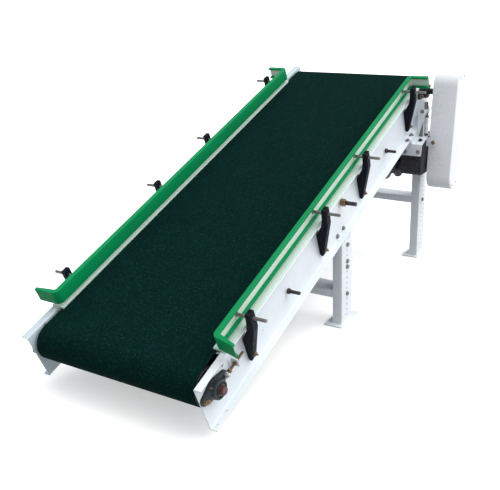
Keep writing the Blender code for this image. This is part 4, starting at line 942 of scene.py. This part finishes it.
def hanger():
    """Plate, lip, upright and strap that carry the gearbox, with the rod that sets the chain."""
    s0, s1 = PLATE_S
    plate = block((GEAR_X[0], s0, PLATE_N - PLATE_THICK), (PLATE_EDGE, s1, PLATE_N), 0.003, upright)
    add("hanger_plate", plate, WHITE, bevel=0.0007, hides=["motor_hanger"])
    spacer = block((SPACER_X[0], s0 + 0.0005, PLATE_N - 0.001), (SPACER_X[1], s1 - 0.0005, -0.2003))
    add("hanger_spacer", spacer, WHITE, bevel=0.0007)
    top = TO_SLOPE.inverted() @ Vector((0.0, s0, PLATE_N))
    y = top.y
    edge = PLATE_EDGE - 0.0005
    face = [(GEAR_X[0], LIP_LOW), (edge - 0.004, LIP_LOW), (edge, top.z - 0.001), (GEAR_X[0], top.z - 0.001)]
    lip = prism(rounded(face, [0.001, 0.004, 0.004, 0.001]), y + 0.0001, y + 0.0048, lengthwise)
    fixed("hanger_lip", lip, WHITE, bevel=0.0007)
    rim = block((GEAR_X[0] + 0.001, y - 0.005, LIP_LOW + 0.0005), (edge - 0.006, y + 0.001, LIP_LOW + 0.0045))
    fixed("hanger_lip_rim", rim, WHITE, bevel=0.001)
    bolts("hanger_lip_bolts", [(0.361, y, 0.606), (0.428, y, 0.609)], FRONT, ZINC, turn=FLOOR,
          size=(0.013, 0.006, 0.01))
    (x0, x1), (y0, y1) = UPRIGHT_X, UPRIGHT_Y
    foot = plate_height(y0) - 0.003
    fixed("hanger_upright", block((x0, y0, foot), (x1, y0 + 0.004, UPRIGHT_TOP), 0.001), WHITE, bevel=0.0007)
    side = [(y0 + 0.001, foot), (y1, plate_height(y1) - 0.003), (y1, STAY_TOP), (y0 + 0.001, STAY_TOP)]
    fixed("hanger_stay", prism(side, x1 - 0.0045, x1 - 0.0005, across), WHITE, bevel=0.0007)
    # The cap plate is zinc grey, darker than the white upright: painted shade on this forward-facing plate.
    cap = block((x1 - 0.003, y0 - 0.0002, 0.809), (edge, y0 + 0.0036, 0.845), 0.002, lengthwise)
    fixed("hanger_cap_painted_shade", cap, ZINC, bevel=0.0007)
    # Painted shade: a thin dark steel triangle over the upright's lower corner, standing in for the shaded
    # recess there.
    inset = [(x0 + 0.008, foot + 0.004), (x1 - 0.005, foot + 0.004), (x1 - 0.005, foot + 0.082)]
    fixed("hanger_painted_shade", prism(inset, y0 - 0.0008, y0 + 0.0002, lengthwise), STEEL)
    bolts("hanger_upright_bolt", [(0.4175, y0, 0.797)], FRONT, ZINC, turn=FLOOR, size=(0.012, 0.006, 0.0095))
    strap = block((PLATE_EDGE - 0.003, y0, STRAP_Z[0]), (STRAP_X, y0 + 0.004, STRAP_Z[1]), 0.003, lengthwise)
    fixed("hanger_strap", strap, WHITE, bevel=0.0007)
    bolts("hanger_strap_bolt", [(0.48, y0, 0.647)], FRONT, BRASS, turn=FLOOR, size=(0.013, 0.006, 0.01))
    nuts = [(0.383, 1.861, -FRAME_DEPTH + FRAME_THICK), (0.383, 1.808, -FRAME_DEPTH + FRAME_THICK)]
    bolts("hanger_flange_nuts", nuts, UP, ZINC, size=(0.015, 0.007, 0.011))
    bolts("hanger_plate_bolt", [(0.4257, 1.866, PLATE_N)], UP, OILED, size=(0.015, 0.007, 0.011))
    x, y = ROD_SPOT
    foot = plate_height(y + 0.009) + 0.0005
    stud = at(threaded(0.005, 0.0015, ROD_LENGTH), (x, y, foot), UP)
    fixed("tension_stud", stud, ZINC, hides=["tension_rod"])
    low, high = foot + 0.0095, foot + 0.087
    sleeve = [(0.0054, low), (0.0085, low), (0.0085, high), (0.0054, high)]
    fixed("tension_sleeve", lathe(sleeve, 28, upright, (x, y)), WHITE)
    fixed("tension_nut_low", at(hexagon(0.0165, 0.009), (x, y, foot), UP), OILED)
    fixed("tension_nut_high", at(hexagon(0.0165, 0.01), (x, y, foot + ROD_LENGTH - 0.022), UP), BRASS)


# -------- assembly
for side_name in SIDES:
    side_frame(side_name)
    edge_strip(side_name)
    bearing("bearing_tail_" + side_name, "tail_bearing_" + side_name, "take_up", side_name, TAIL_S)
    bearing("bearing_head_" + side_name, "head_bearing_" + side_name, "frame", side_name, HEAD_S)
    shaft_end("shaft_end_tail_" + side_name, "tail_drum", side_name, TAIL_S, 0.419)
    take_up_screw(side_name)
    guide(side_name)
    for index, position in enumerate(BRACKET_S[side_name]):
        guide_bracket(side_name, index + 1, position)
    for leg_name in LEG_FRONT:
        leg(side_name, leg_name)
    leg_bolts(side_name)
shaft_end("shaft_end_head_left", "head_drum", "left", HEAD_S, 0.419)

belt()
drum("drum_tail", "tail_pulley", "tail_drum", TAIL_S, 0.418)
drum("drum_head", "head_pulley", "head_drum", HEAD_S, 0.519)
for where, along in ROLLER_S.items():
    roller(where)
    cross_rod("axle_" + where, "return_axle_" + where, along, ROLLER_N, 0.007, 0.055, (0.01,), 0.02, 0.0125,
              OILED)
cross_rod("tie_bar", "tie_rod", TIE_S, TIE_N, 0.009, 0.072, (0.011, 0.009), 0.028, 0.0215, BRASS)
for leg_name in LEG_FRONT:
    leg_brace(leg_name)
chain_guard()
gearbox()
motor()
hanger()

# Nodes that are shown as they are.
KEPT = {"slider_bed": GALV, "driven_sprocket": OILED, "drive_sprocket": OILED, "drive_chain": OILED,
        "motor_fan": FAN}
KEPT.update({"leg_mount_" + where + "_" + side: WHITE for where in LEG_FRONT for side in SIDES})
for node_name, look in KEPT.items():
    for holder in frame["nodes"][node_name].material_slots:
        holder.material = look

# -------- floor, light and camera
glow = GROUND.node_tree.nodes["Principled BSDF"]
glow.inputs["Emission Color"].default_value = (1.0, 1.0, 1.0, 1.0)
glow.inputs["Emission Strength"].default_value = 0.4
floor_mesh = bpy.data.meshes.new("studio_floor")
grid = bmesh.new()
bmesh.ops.create_grid(grid, x_segments=8, y_segments=8, size=4000.0)
grid.to_mesh(floor_mesh)
grid.free()
floor_mesh.materials.append(GROUND)
floor = bpy.data.objects.new("studio_floor", floor_mesh)
floor.visible_diffuse = False
SCENE.collection.objects.link(floor)

world = bpy.data.worlds.new("studio")
SCENE.world = world
world.use_nodes = True
sky = world.node_tree
back = sky.nodes["Background"]
coords = sky.nodes.new("ShaderNodeTexCoord").outputs["Generated"]
toward = wired(sky, "ShaderNodeVectorMath", {0: coords, 1: (0.3, 0.1, 0.95)}, operation="DOT_PRODUCT")
lift = spread(sky, toward.outputs["Value"], -1.0, 1.0)
ramp = wired(sky, "ShaderNodeValToRGB", {"Fac": lift})
stops = ramp.color_ramp.elements
for stop, value in ((stops[0], 0.38), (stops[1], 1.42)):
    stop.color = (value, value, value, 1.0)
for position, value in ((0.48, 0.42), (0.56, 0.62)):
    stops.new(position).color = (value * 0.97, value, value * 1.04, 1.0)
sky.links.new(ramp.outputs["Color"], back.inputs["Color"])
back.inputs["Strength"].default_value = 1.0

sun = bpy.data.lights.new("soft_sun", "SUN")
sun.energy = 1.9
sun.angle = radians(60)
lamp = bpy.data.objects.new("soft_sun", sun)
lamp.rotation_euler = Vector((0.52, 0.3, 0.8)).to_track_quat("Z", "Y").to_euler()
SCENE.collection.objects.link(lamp)

camera = bpy.data.cameras.new("camera")
camera.sensor_width = 36.0
camera.lens = 49.6
camera.shift_x = -0.1007
camera.shift_y = 0.0085
CAMERA_SPOT = Vector((1.552, -1.4348, 1.3579))
YAW, PITCH, ROLL = radians(29.165), radians(20.409), radians(-1.004)
eye = bpy.data.objects.new("camera", camera)
eye.matrix_world = (FLOOR @ Matrix.Translation(CAMERA_SPOT) @ Matrix.Rotation(YAW, 4, "Z")
                    @ Matrix.Rotation(pi / 2 - PITCH, 4, "X") @ Matrix.Rotation(ROLL, 4, "Z"))
SCENE.collection.objects.link(eye)
SCENE.camera = eye
SCENE.view_settings.view_transform = "Standard"
